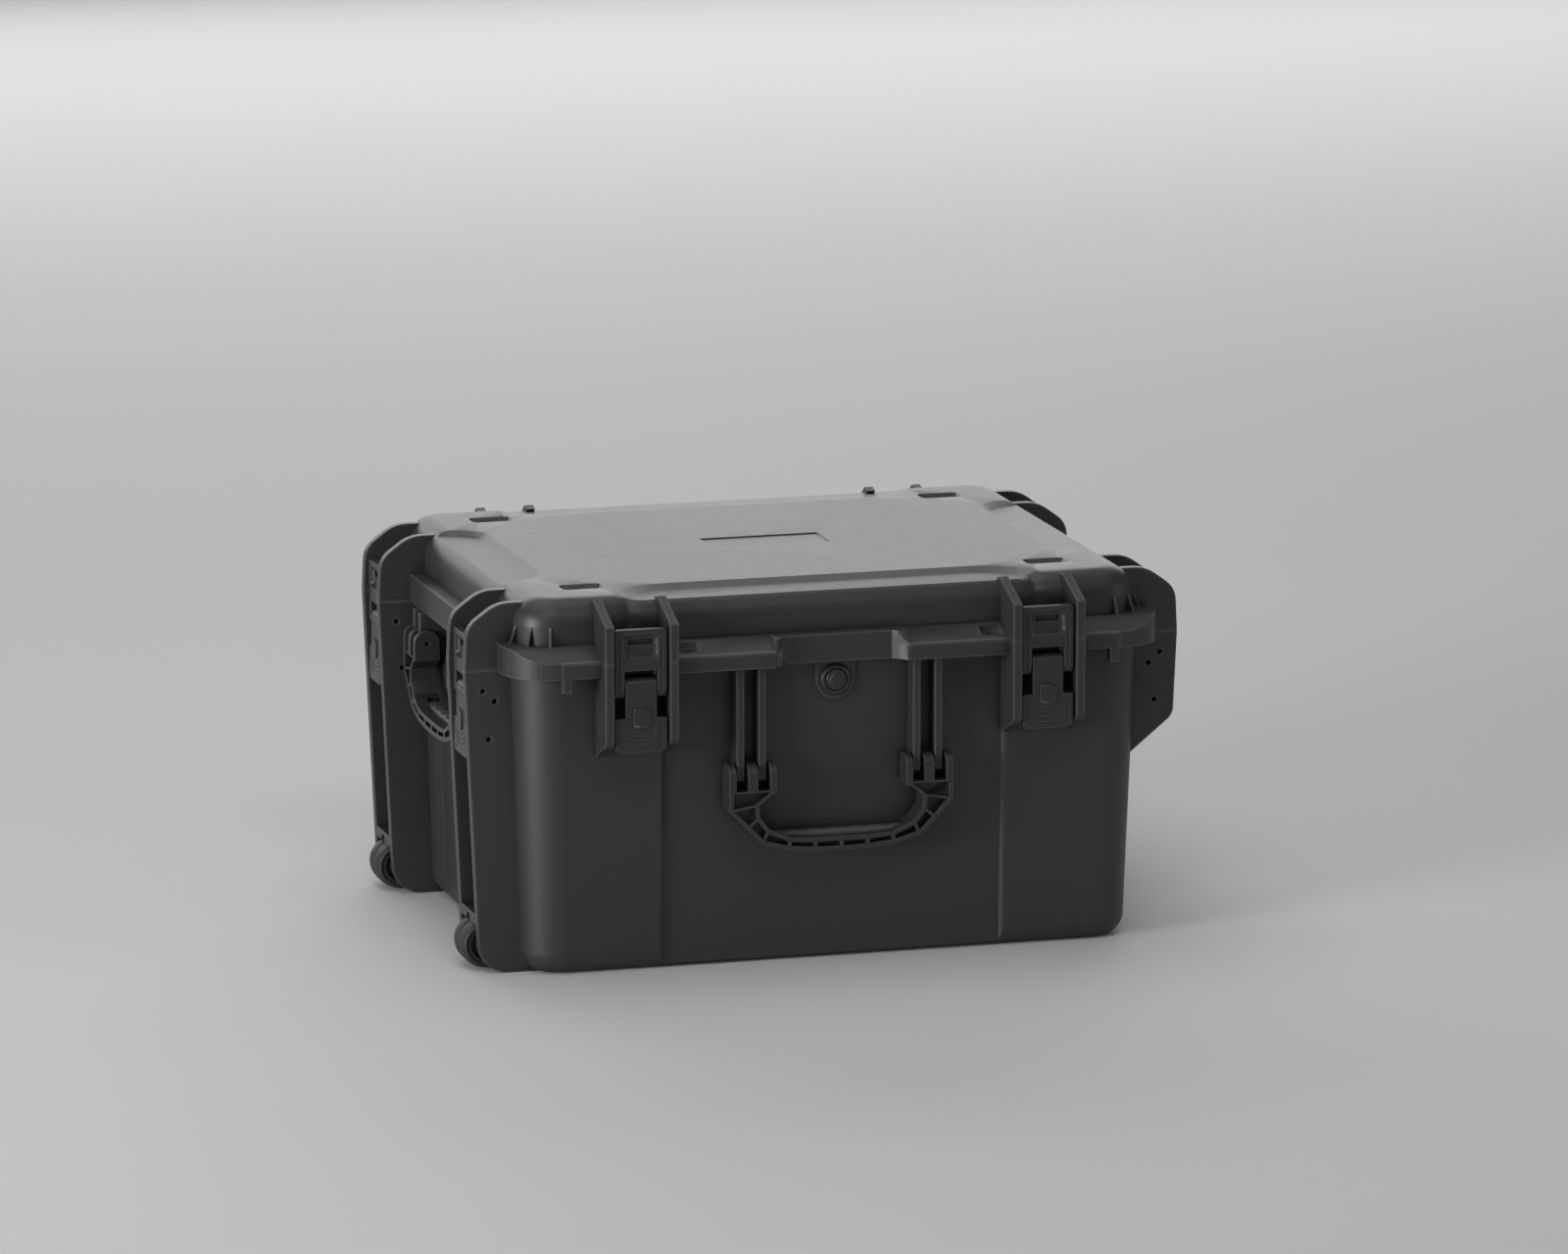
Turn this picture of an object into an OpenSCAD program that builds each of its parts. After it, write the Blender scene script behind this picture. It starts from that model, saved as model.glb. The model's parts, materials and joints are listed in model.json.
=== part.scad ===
// Wheeled hard case for laptops: a deep base and a shallow lid on a rear hinge,
// six draw latches, three drop handles, two wheels and a slotted foam lining.
// Millimetres, +Z up, front at -Y, wheels at -X, origin at the centre of the base.

/* [Case] */
// Length of the rim, end to end
case_len = 646; // [600:1:720]
// Depth of the rim, front to back
case_wid = 544; // [520:1:600]
// Height of the parting line above the floor
part_z = 309; // [290:1:340]
// Corner radius of the rim
rim_r = 45; // [38:1:55]
// Thickness of the base rim, top to bottom
base_rim_h = 14.5; // [11:0.5:18]
// Thickness of the lid rim, bottom to top
lid_rim_h = 13; // [10:0.5:16]
// Wall thickness of both shells
wall_t = 5; // [3.5:0.5:6]
// Thickness of the base floor
floor_t = 6; // [4:0.5:8]
// Draft of the base walls in degrees
draft = 1.7; // [0.8:0.1:2.2]
// How far the rim stands out past the base end walls
rim_out_x = 12.8; // [11:0.2:16]
// How far the rim stands out past the base front and back walls
rim_out_y = 24.3; // [22:0.1:28]
// Corner radius of the base walls
wall_r = 40; // [34:1:46]
// Radius along the bottom edge
bottom_r = 20; // [14:1:26]
// Half length of the sunk panel in the front and back walls
panel_half_x = 167; // [150:1:180]
// Half width of the sunk panel in the end walls
panel_half_y = 104; // [90:1:118]
// Depth of the sunk panels
panel_deep = 6; // [3:0.5:8]
// Gap between lid and base at the parting line
part_gap = 0.2; // [0.1:0.05:0.4]
// Half length of the set-back part in the middle of the front rim
scoop_half = 52; // [40:1:70]
// How far that part is set back
scoop_deep = 14; // [8:1:16]

/* [Lid] */
// Height of the lid above the parting line
lid_h = 54.6; // [48:0.2:70]
// How far the rim stands out past the lid end walls
lid_out_x = 15.5; // [13:0.5:20]
// How far the rim stands out past the lid front and back walls
lid_out_y = 30; // [26:0.5:34]
// Corner radius of the lid walls
lid_r = 36; // [30:1:44]
// Radius along the top edge
top_r = 25; // [15:1:28]
// How far the skirt hangs below the parting line
skirt_h = 14.5; // [10:0.5:16]
// Thickness of the skirt
skirt_t = 4; // [3:0.5:5]
// Where the skirt ends along the front, from the middle
skirt_front_x = 275; // [262:1:280]
// Where the skirt ends along the end walls, from the middle
skirt_back_y = 214; // [211:1:222]
// Depth of the lowered strips along the top edges
strip_deep = 4.7; // [2:0.1:7]
// Half length of the front and back strips
strip_half_x = 150; // [120:1:160]
// Half length of the end strips
strip_half_y = 100; // [80:1:115]
// Width of the front and back strips, from the lid wall
strip_wid_y = 62; // [50:1:70]
// Width of the end strips, from the lid wall
strip_wid_x = 56; // [45:1:62]
// Slope of a strip's end, in run per step
strip_slope = 9; // [5:0.5:14]
// Distance of the stacking pockets from the middle along the length
pocket_x = 230.7; // [215:0.5:240]
// Distance of the stacking pockets from the middle along the depth
pocket_y = 174.7; // [160:0.5:185]
// Length of a stacking pocket
pocket_len = 41; // [30:1:50]
// Width of a stacking pocket
pocket_wid = 24; // [16:1:30]
// Depth of a stacking pocket
pocket_deep = 4; // [2:0.5:4.5]
// Length of the bare nameplate recess
plate_len = 119; // [60:1:160]
// Width of the bare nameplate recess
plate_wid = 47; // [30:1:80]
// Depth of the bare nameplate recess
plate_deep = 1.2; // [0.6:0.1:2.5]
// Radius of the padlock hole
padlock_r = 4.25; // [3:0.25:5]
// Distance of the padlock hole from the middle
padlock_x = 149.5; // [140:0.5:152]
// Distance of the padlock hole behind the rim's front edge
padlock_in = 13.5; // [12:0.5:14]

/* [Rails] */
// Distance of a rail's middle from the middle of the case
rail_y = 172.3; // [160:0.1:176]
// Width of a rail over its two fins
rail_w = 71.8; // [70:0.2:76]
// Thickness of a fin
fin_t = 8.4; // [6:0.2:9]
// How far the fins' outer edge stands outside the rim, at the rail's parting line
fin_out = 31; // [25:0.5:43]
// Lean of the base fins' outer edge in degrees
fin_lean = 2.53; // [1:0.1:3.5]
// Radius at the bottom corner of a long fin
fin_foot_r = 30; // [20:1:36]
// Height of the short fins' outer corner above the floor
short_fin_z = 204; // [190:1:215]
// Height of the lid fins' bend above the parting line
fin_bend_h = 28; // [20:1:34]
// How far the lid fins slope inwards to their top
fin_slope_in = 30; // [20:1:40]
// How far the lid fins' top lies below the lid's top
fin_top_drop = 4.7; // [3:0.1:8]

/* [Latches] */
// Distance of the front latches from the middle
latch_x = 200.8; // [195:0.2:212]
// How far the front ears' outer face stands in front of the rim
ear_out = 12.7; // [12:0.1:28]
// Width over a pair of ears
ear_pair_w = 71.5; // [70.5:0.5:76]
// Thickness of a front ear
ear_t = 8.5; // [6:0.5:9.5]
// Length of the front ears below the parting line
ear_drop = 83; // [78:1:92]
// Height of the front ears' bend above the parting line
ear_bend_h = 36; // [28:1:40]
// Width of a front latch
latch_w = 50.3; // [46:0.1:50.5]
// Gap between an end latch and each fin beside it
latch_play = 2.35; // [2.25:0.05:4.5]
// Gap between a latch on the rear rails, which the lid's fins pass on a tighter arc, and each fin
rear_latch_play = 3.9; // [3.8:0.05:6.4]
// Width of the lever between the link's arms
neck_w = 30; // [26:0.5:32]
// Gap between the lever and each arm
arm_gap = 1.2; // [0.6:0.1:2]
// Depth of the latch's face behind the ears' outer face
face_in = 4.5; // [3:0.1:6]
// Thickness of the link's plate
link_t = 7; // [5:0.25:7.2]
// Height of the link above the parting line
link_up = 32; // [26:0.5:36]
// Depth of the lever pivot behind the ears' outer face
pivot_in = 17.6; // [16.5:0.1:19]
// Drop of the lever pivot below the parting line
pivot_drop = 19.8; // [19.5:0.1:22]
// Depth of the link pivot behind the ears' outer face
link_pivot_in = 29; // [27:0.1:30]
// Drop of the link pivot below the parting line
link_pivot_drop = 30; // [29:0.1:32]
// Depth of the catch pin behind the ears' outer face
catch_in = 23; // [22:0.1:25]
// Drop of the catch pin below the parting line
catch_drop = 66.5; // [66:0.1:72]
// Drop of the lever's shoulders below the parting line
shoulder_drop = 53.5; // [52.5:0.5:56]
// Drop of the lever's lower end below the parting line
lever_drop = 86.6; // [82:0.2:92]
// Radius of the pivot and catch pins
latch_pin_r = 2.5; // [2:0.1:2.6]
// Radius of the link's pin
link_pin_r = 2.2; // [1.8:0.1:2.4]
// Width of the release button
button_w = 16; // [12:0.5:18]
// Height of the release button
button_h = 19; // [15:0.5:20]
// How far the button stands proud of the lever
button_proud = 1.6; // [0.5:0.1:2.5]
// Gap round the button
button_gap = 0.4; // [0.3:0.1:0.8]
// Travel of the button
button_travel = 2.5; // [1:0.5:3]
// Radial clearance of every pin in its bore
pin_clear = 0.05; // [0.02:0.01:0.1]

/* [Hinge] */
// Distance of the two hinges from the middle
hinge_x = 200.8; // [170:0.2:215]
// Distance of the hinge axis behind the rim
hinge_out = 7.5; // [6.5:0.1:18]
// Height of the hinge axis above the parting line
hinge_up = 9; // [7:0.5:12]
// Radius of a hinge knuckle
knuckle_r = 5.2; // [4.5:0.1:5.4]
// Radius of the hinge pins
hinge_pin_r = 2.5; // [2:0.1:3]
// Distance between the middles of a hinge's two lid ears
hinge_pitch = 49.5; // [40:0.5:56]
// Gap between a lid ear and its base ear
hinge_gap = 0.4; // [0.3:0.1:1]
// Length of the hinge's base ears below the parting line
hinge_drop = 80; // [50:1:90]

/* [Handles] */
// Height of the front handle's pivot above the floor
front_pivot_z = 188.5; // [150:0.5:205]
// Height of the end handles' pivot above the floor
end_pivot_z = 265.6; // [240:0.5:268]
// Distance of a handle's pivot from the plane its prongs clear
handle_out = 14; // [13.5:0.5:18]
// How far that plane stands out from the sunk front panel
front_stand = 2.4; // [0:0.1:6]
// Half length of a handle over its outer prongs
handle_half = 110.8; // [104:0.2:120]
// Drop of the handle's lower edge below its pivot
handle_drop = 75.5; // [65:0.5:90]
// Drop of the grip's upper edge below the pivot
grip_drop = 62; // [52:0.5:64]
// Radius of a prong's end
prong_r = 12.6; // [10:0.1:13]
// Radius of the handle pins
handle_pin_r = 2.5; // [2:0.1:3]
// Thickness of a wall rib
rib_t = 7.3; // [5:0.1:8]
// Gap between a wall rib and the prongs beside it
rib_gap = 2.4; // [1:0.1:3]
// Width of a rim of the handle's section
handle_rim = 4; // [3:0.5:6]
// Depth of the pockets between the rims
handle_pocket = 9; // [3:0.5:11]

/* [Wheels] */
// Radius of a wheel
wheel_r = 23.4; // [18:0.1:24]
// Width of a wheel
wheel_w = 42; // [30:1:44]
// Height of a wheel's lowest point above the floor
wheel_lift = 1; // [0.5:0.1:3]
// Radius of a wheel axle
axle_r = 4; // [3:0.25:5]
// Radius of the hub under the tyre
hub_r = 17; // [12:0.5:19]
// Thickness of a wheel bracket's plates
bracket_t = 3; // [2:0.25:4]

/* [Valve] */
// Drop of the valve's middle below the parting line
valve_drop = 34.2; // [33:0.2:40]
// Radius of the valve's collar
valve_r = 15.2; // [12:0.2:16]
// Radius of the valve's knob
valve_knob_r = 10.2; // [8:0.2:11]
// Radius of the valve's stem through the wall
valve_stem_r = 7; // [5:0.5:8]

/* [Lining] */
// Number of laptop slots
slot_count = 10; // [6:1:12]
// Length of a laptop slot
slot_len = 392; // [360:1:400]
// Thickness of the foam between two slots
divider_t = 14; // [10:0.5:20]
// Thickness of the foam floor pad
foam_floor_t = 30; // [20:1:50]
// Thickness of the foam block at each end of the row
foam_end_t = 20; // [12:1:30]
// Gap between foam and shell
foam_gap = 0.4; // [0.3:0.1:1]
// Gap between the foam's top and the parting line
foam_top_gap = 6; // [4:0.5:12]
// Width of the seal's groove
seal_w = 5; // [4:0.5:6]
// Distance of the groove's middle inside the wall's outer face
seal_in = 0.5; // [0:0.1:1]

/* [Hidden] */
$fn = 48;
hull_fn = 32;
eps = 0.01;
far = 60;
shell_colour = "#3b3c3e";
trim_colour = "#333436";
foam_colour = "#26272a";
metal_colour = "#8f9296";
rubber_colour = "#222224";

half_x = case_len / 2;
half_y = case_wid / 2;
fin_x = half_x + fin_out;
ear_y = half_y + ear_out;
hinge_y = half_y + hinge_out;
rim_bot = part_z - base_rim_h;
rim_top = part_z + lid_rim_h;
lid_top = part_z + lid_h;
lid_bot = part_z + part_gap;
rail_part = part_z - skirt_h;
skirt_clear = 0.4;
wall_x0 = half_x - rim_out_x;
wall_y0 = half_y - rim_out_y;
lid_x0 = half_x - lid_out_x;
lid_y0 = half_y - lid_out_y;
function lean(z) = (rim_bot - z) * tan(draft);
function wall_x(z) = wall_x0 - lean(z);
function wall_y(z) = wall_y0 - lean(z);
front_plane = wall_y(front_pivot_z) - panel_deep + front_stand;
end_plane = wall_x(end_pivot_z);

lever_t = 8.5;
boss_r = 4.8;
window_w = 33;
window_h = 22;
window_z = 16.3;
window_deep = 3.5;
window_slot_h = 6;
slot_up = 3.7;
grip_show = 5;
seat_gap = 0.05;
pocket_slope = 0.9;
channel_half = 16.5;
channel_root = 2;
channel_deep = 4;
channel_back_w = 38;
channel_back_t = 5;
fin_bend_r = 12;
pin_sunk = 5;
strip_end_share = 0.65;
scoop_flare = 1;
slope_edge = 0.4;
slope_in = 4;
gusset_w = 2.6;
gusset_h = 17;
gusset_root = 4;
lever_top_r = 8;
tail_in = 4;
link_boss_r = 5.5;
link_bar_z = -7.6;
link_corner_r = 3;
foot_corner_r = 7;
border_in = 4;
border_w = 1;
border_deep = 0.8;
groove_w = 28;
groove_r = 26;
groove_line = 1.5;
groove_deep = 0.7;
fin_gap_w = rail_w - 2 * fin_t;
end_latch_w = fin_gap_w - 2 * latch_play;
rear_latch_w = fin_gap_w - 2 * rear_latch_play;
// A latch site: name, place of its middle, turn about Z, parting height, width
SITES = [
  ["front_left", [-latch_x, -ear_y], 0, part_z, latch_w],
  ["front_right", [latch_x, -ear_y], 0, part_z, latch_w],
  ["left_front", [-fin_x, -rail_y], -90, rail_part, end_latch_w],
  ["left_rear", [-fin_x, rail_y], -90, rail_part, rear_latch_w],
  ["right_front", [fin_x, -rail_y], 90, rail_part, end_latch_w],
  ["right_rear", [fin_x, rail_y], 90, rail_part, rear_latch_w]
];

// A handle site: place of the clearance plane at pivot height, turn about Z, depth of the wall behind it
HANDLES = [
  [[0, -front_plane, front_pivot_z], 0, front_stand],
  [[-end_plane, 0, end_pivot_z], -90, panel_deep],
  [[end_plane, 0, end_pivot_z], 90, panel_deep]
];

catch_lo = 17;
catch_hi = 24;
catch_w = 26;
catch_gap = 0.5;
button_z = -(shoulder_drop - 0.8);
pocket_floor = part_z + 4;
seal_deep = 3;
seal_play = 0.2;
hinge_ear_t = ear_t;
hinge_pair_w = hinge_pitch + hinge_ear_t;
hinge_base_w = hinge_pair_w + 2 * (hinge_ear_t + hinge_gap);
hinge_z = part_z + hinge_up;
grip_half = 66;
grip_play = 0.1;
grip_front = -handle_out - prong_r + handle_pocket + 3;
wheel_z = wheel_r + wheel_lift;
wheel_x = fin_x - wheel_r;

rib_x1 = 72.9;
rib_x2 = 94.4;
prong_in = [64.5, rib_x1 - rib_gap];
prong_mid = [rib_x1 + rib_t + rib_gap, rib_x2 - rib_gap];
prong_out = [rib_x2 + rib_t + rib_gap, handle_half];

foam_len = 2 * (wall_x(floor_t + foam_floor_t) - wall_t - foam_gap - panel_deep);
slot_span = foam_len - 2 * foam_end_t;
slot_w = (slot_span - (slot_count - 1) * divider_t) / slot_count;
slot_z0 = floor_t + 1 + foam_floor_t;
foam_top = part_z - foam_top_gap;
valve_z = part_z - valve_drop;
valve_wall = wall_y(valve_z) - panel_deep;

// Plan shapes

module round_rect(len, wid, r) {
  square([len - 2 * r, wid], center = true);
  square([len, wid - 2 * r], center = true);
  for (x = [-1, 1], y = [-1, 1])
    translate([x * (len / 2 - r), y * (wid / 2 - r)]) circle(r);
}

module slice(z, x, y, r) {
  translate([0, 0, z]) linear_extrude(eps) round_rect(2 * x, 2 * y, r, $fn = hull_fn);
}

// A profile drawn in depth and height, extruded across a width about the middle
module across(w) {
  rotate([90, 0, 90]) translate([0, 0, -w / 2]) linear_extrude(w) children();
}

// A cylinder along the first axis, by its two ends
module cross_pin(u0, u1, d, z, r) {
  translate([u0, d, z]) rotate([0, 90, 0]) cylinder(r = r, h = u1 - u0);
}

// Base shell

// Walls with their draft and rounded bottom edge, shrunk by an inset and raised by a floor
module base_form(inset, floor_z, r_edge) {
  hull() {
    for (a = [0:15:90]) {
      z = floor_z + r_edge * (1 - cos(a));
      cut = inset + r_edge * (1 - sin(a));
      slice(z, wall_x(z) - cut, wall_y(z) - cut, max(wall_r - cut, 6));
    }
    slice(part_z - eps, wall_x(part_z) - inset, wall_y(part_z) - inset, wall_r - inset);
  }
}

// Slabs that sink the wall panels, moved inwards by an inset
module panel_slabs(inset) {
  z_mid = rim_bot - 2;
  for (s = [-1, 1]) {
    scale([1, s, 1]) translate([0, -wall_y(z_mid) + inset, z_mid]) rotate([draft, 0, 0])
      translate([0, 0, -z_mid - far]) linear_extrude(z_mid + far + far)
        polygon([[-panel_half_x, panel_deep], [panel_half_x, panel_deep],
                 [panel_half_x + panel_deep + far, -far], [-panel_half_x - panel_deep - far, -far]]);
    scale([s, 1, 1]) translate([-wall_x(z_mid) + inset, 0, z_mid]) rotate([0, -draft, 0])
      translate([0, 0, -z_mid - far]) linear_extrude(z_mid + far + far)
        polygon([[panel_deep, -panel_half_y], [panel_deep, panel_half_y],
                 [-far, panel_half_y + panel_deep + far], [-far, -panel_half_y - panel_deep - far]]);
  }
}

// Plan of the rim, with the set-back middle of the front
module rim_plan() {
  difference() {
    round_rect(case_len, case_wid, rim_r);
    polygon([[-scoop_half, -half_y + scoop_deep], [scoop_half, -half_y + scoop_deep],
             [scoop_half + scoop_deep + far, -half_y - far],
             [-scoop_half - scoop_deep - far, -half_y - far]]);
  }
}

// Plan of the set-back middle out to the back of the lid's skirt there, thin at its two front corners
module scoop_band(t, gap) {
  x1 = scoop_half + scoop_flare + gap;
  x2 = scoop_half + scoop_deep + gap;
  y = -half_y + scoop_deep + t + gap;
  polygon([[-x1, y], [x1, y], [x2, -half_y], [x2, -half_y - 1], [-x2, -half_y - 1], [-x2, -half_y]]);
}

// Plan of the strip that the lid's skirt takes out of the base rim
module skirt_plan(t, front_x, back_y) {
  intersection() {
    difference() {
      round_rect(case_len, case_wid, rim_r);
      round_rect(case_len - 2 * t, case_wid - 2 * t, rim_r - t);
    }
    union() {
      for (s = [-1, 1])
        translate([s * (front_x + half_x) / 2, (back_y - half_y) / 2])
          square([half_x - front_x + eps, half_y + back_y + eps], center = true);
    }
  }
}

module padlock_bore(z0, z1) {
  for (s = [-1, 1])
    translate([s * padlock_x, -half_y + padlock_in, z0]) cylinder(r = padlock_r, h = z1 - z0);
}

module seal_ring(grow) {
  x = wall_x(part_z) - seal_in;
  y = wall_y(part_z) - seal_in;
  r = wall_r - seal_in;
  w = seal_w / 2 + grow;
  difference() {
    round_rect(2 * (x + w), 2 * (y + w), r + w);
    round_rect(2 * (x - w), 2 * (y - w), r - w);
  }
}

module base_walls() {
  difference() {
    base_form(0, 0, bottom_r);
    panel_slabs(0);
  }
}

module base_outside() {
  base_walls();
  translate([0, 0, rim_bot]) linear_extrude(base_rim_h) rim_plan();
}

module seal_groove() {
  translate([0, 0, part_z - seal_deep]) linear_extrude(far) seal_ring(seal_play);
}

module base_tub() {
  color(shell_colour)
  difference() {
    union() {
      base_walls();
      valve_pad();
    }
    difference() {
      base_cavity();
      panel_slabs(wall_t);
    }
    seal_groove();
    valve_bore();
  }
}

// Rim round the top of the base, as far in as the walls
module base_rim() {
  color(shell_colour)
  difference() {
    union() {
      difference() {
        translate([0, 0, rim_bot]) linear_extrude(base_rim_h) rim_plan();
        translate([0, 0, rim_bot - eps]) linear_extrude(base_rim_h + 1) {
          skirt_plan(skirt_t + skirt_clear, skirt_front_x - skirt_clear, skirt_back_y + skirt_clear);
          scoop_band(skirt_t, skirt_clear);
        }
      }
      rim_tabs();
    }
    base_walls();
    seal_groove();
    padlock_bore(rim_bot - 1, part_z + 1);
    lever_reliefs();
  }
}

// Room under the front rim for the levers' upper ends as they swing
module lever_reliefs() {
  w = neck_w + 2;
  back_y = -ear_y + pivot_in + 4.2;
  top_z = part_z - pivot_drop + pivot_in - face_in;
  for (s = [-1, 1])
    translate([s * latch_x - w / 2, -half_y - 1, rim_bot - 1])
      cube([w, back_y + half_y + 1, top_z - rim_bot + 1]);
}

module base_cavity() {
  hull() {
    for (a = [0:30:90]) {
      r_in = bottom_r - wall_t;
      z = floor_t + r_in * (1 - cos(a));
      cut = wall_t + r_in * (1 - sin(a));
      slice(z, wall_x(z) - cut, wall_y(z) - cut, wall_r - cut);
    }
    slice(part_z + 1, wall_x(part_z) - wall_t, wall_y(part_z) - wall_t, wall_r - wall_t);
  }
}

// Short tabs under the ends of the front rim
module rim_tabs() {
  tab_w = 9;
  tab_h = 13;
  tab_t = 9;
  for (s = [-1, 1])
    translate([s * (skirt_front_x - skirt_clear - tab_w / 2) - tab_w / 2, -half_y, rim_bot - tab_h])
      cube([tab_w, tab_t, tab_h + 1]);
}

module valve_pad() {
  pad_r = valve_r + 4;
  pad_t = 3;
  translate([0, -valve_wall, valve_z]) rotate([90, 0, 0])
    translate([0, 0, -wall_t / 2]) linear_extrude(wall_t / 2 + pad_t) {
      circle(pad_r);
      translate([-pad_r, 0]) square([2 * pad_r, rim_bot - valve_z]);
    }
}

module valve_bore() {
  translate([0, -valve_wall - far / 2, valve_z]) rotate([-90, 0, 0])
    cylinder(r = valve_stem_r + pin_clear, h = far);
}

// Base rails

function fin_edge(z) = fin_x - (rail_part - z) * tan(fin_lean);

module fin_pair(y) {
  for (s = [-1, 1])
    translate([0, y + s * (rail_w - fin_t) / 2 + fin_t / 2, 0]) rotate([90, 0, 0])
      linear_extrude(fin_t) children();
}

module long_fin() {
  foot_x = fin_edge(fin_foot_r) - fin_foot_r;
  in_x = wall_x(0) - bottom_r - 8;
  polygon([[in_x, part_z], [in_x, 0], [foot_x, 0], [foot_x, fin_foot_r],
           [fin_edge(fin_foot_r), fin_foot_r], [fin_x, rail_part], [fin_x, part_z]]);
  translate([foot_x, fin_foot_r]) circle(fin_foot_r);
}

module short_fin() {
  corner_r = 16;
  in_x = wall_x(0) - wall_t;
  edge = fin_edge(short_fin_z + corner_r);
  fall = short_fin_z - (edge - corner_r * (1 - cos(45)) - wall_x(short_fin_z) + 0.5) * 0.7;
  polygon([[in_x, part_z], [in_x, fall], [wall_x(fall), fall],
           [edge - corner_r * (1 - cos(45)), short_fin_z + corner_r * (1 - sin(45))],
           [edge, short_fin_z + corner_r], [fin_x, rail_part], [fin_x, part_z]]);
  translate([edge - corner_r, short_fin_z + corner_r]) circle(corner_r);
}

// Bores for one rail's latch: lever pivot, link pin access and catch pin
module rail_bores(y) {
  for (p = [[pivot_in, pivot_drop], [link_pivot_in, link_pivot_drop], [catch_in, catch_drop]])
    translate([fin_x - p[0], y - rail_w / 2 - 1, rail_part - p[1]]) rotate([-90, 0, 0])
      cylinder(r = latch_pin_r + pin_clear, h = rail_w + 2);
}

module base_guards(side) {
  color(shell_colour)
  scale([side, 1, 1])
  difference() {
    for (y = [-rail_y, rail_y]) fin_pair(y) if (side < 0) long_fin(); else short_fin();
    base_outside();
    translate([0, 0, rail_part]) linear_extrude(far) square(4 * half_x, center = true);
    for (y = [-rail_y, rail_y]) rail_bores(y);
    if (side < 0) for (y = [-rail_y, rail_y]) axle_bore(y);
  }
}

module axle_bore(y) {
  blind = fin_gap_w + 8;
  translate([wheel_x, y - blind / 2, wheel_z]) rotate([-90, 0, 0])
    cylinder(r = axle_r + pin_clear, h = blind);
}

// Front latch ears and rear hinge ears of the base

// Places children at the two fins or ears of a pair, cut to a thickness
module ear_pair(pair_w, t) {
  for (s = [-1, 1])
    translate([s * (pair_w - t) / 2, 0, 0]) across(t) children();
}

module base_ear_shape() {
  in_y = -wall_y0 + wall_t;
  foot_r = 12;
  foot_z = part_z - ear_drop;
  polygon([[in_y, part_z - part_gap / 2], [in_y, foot_z - foot_r], [-wall_y0, foot_z - foot_r],
           [-ear_y + foot_r, foot_z], [-ear_y, foot_z + foot_r], [-ear_y, part_z - part_gap / 2]]);
  translate([-ear_y + foot_r, foot_z + foot_r]) circle(foot_r);
}

module base_latch_ears() {
  color(shell_colour)
  difference() {
    for (s = [-1, 1]) translate([s * latch_x, 0, 0]) ear_pair(ear_pair_w, ear_t) base_ear_shape();
    base_outside();
    for (s = [-1, 1], p = [[pivot_in, pivot_drop], [catch_in, catch_drop]])
      translate([s * latch_x, 0, 0])
        cross_pin(-ear_pair_w / 2 - 1, ear_pair_w / 2 + 1, -ear_y + p[0], part_z - p[1],
                  latch_pin_r + pin_clear);
  }
}

module base_hinge_shape() {
  in_y = wall_y0 - wall_t;
  neck_y = hinge_y - knuckle_r;
  foot_r = 12;
  foot_z = part_z - hinge_drop;
  polygon([[in_y, part_z - part_gap / 2], [neck_y, part_z - part_gap / 2], [neck_y, hinge_z],
           [hinge_y + knuckle_r, hinge_z], [hinge_y + knuckle_r, foot_z + foot_r],
           [hinge_y + knuckle_r - foot_r, foot_z], [wall_y0, foot_z - foot_r], [in_y, foot_z - foot_r]]);
  translate([hinge_y, hinge_z]) circle(knuckle_r);
}

module hinge_bores() {
  for (s = [-1, 1]) translate([s * hinge_x, 0, 0])
    cross_pin(-hinge_base_w / 2 - 1, hinge_base_w / 2 + 1, hinge_y, hinge_z, hinge_pin_r + pin_clear);
}

module base_hinge_ears() {
  color(shell_colour)
  difference() {
    for (s = [-1, 1]) translate([s * hinge_x, 0, 0]) ear_pair(hinge_base_w, hinge_ear_t) base_hinge_shape();
    base_outside();
    hinge_bores();
  }
}

// Lid shell

module lid_form(inset, z0, top, r_edge) {
  hull() {
    slice(z0, lid_x0 - inset, lid_y0 - inset, lid_r - inset);
    for (a = [0:15:90]) {
      cut = inset + r_edge * (1 - cos(a));
      slice(top - r_edge * (1 - sin(a)) - eps, lid_x0 - cut, lid_y0 - cut, max(lid_r - cut, 8));
    }
  }
}

// One lowered strip with sloped sides and round ends, drawn along the front edge
module strip_cut(half, wid, y0, reach, end_slope) {
  hull() {
    translate([0, 0, lid_top - strip_deep]) linear_extrude(eps)
      strip_plan(half, wid - strip_slope, y0, reach - end_slope);
    translate([0, 0, lid_top]) linear_extrude(1) strip_plan(half, wid, y0, reach);
  }
}

// Each end is a quarter ellipse from the long edge round to the lid's wall
module strip_plan(half, wid, y0, reach) {
  end = [for (t = [0:15:90]) [half + reach * sin(t), y0 + wid * cos(t)]];
  for (s = [-1, 1]) scale([s, 1, 1]) polygon(concat([[0, y0 - far], [0, y0 + wid]], end, [[half + reach, y0 - far]]));
}

// The slope that thins the front rim of the lid to its edge, from the scoop round into the corners
module rim_slope() {
  in_x = scoop_half + scoop_deep;
  out_x = half_x + 1;
  for (s = [-1, 1])
    translate([s * (in_x + out_x) / 2, 0, 0]) across(out_x - in_x)
      polygon([[-half_y - 1, lid_bot + slope_edge], [-half_y - 1, rim_top + 1],
               [-lid_y0 - slope_in, rim_top + 1], [-lid_y0 - slope_in, rim_top]]);
}

// Channels behind the front latches, up the lid's front wall and over its round top edge
module latch_channels() {
  for (s = [-1, 1], a = [0, 30, 60])
    translate([s * latch_x, -lid_y0 + top_r * (1 - cos(a)), lid_top - top_r * (1 - sin(a))])
      rotate([-a, 0, 0]) translate([0, 0, a == 0 ? top_r + rim_top - lid_top : -top_r / 2])
        linear_extrude(a == 0 ? lid_h : top_r) channel_plan();
}

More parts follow.
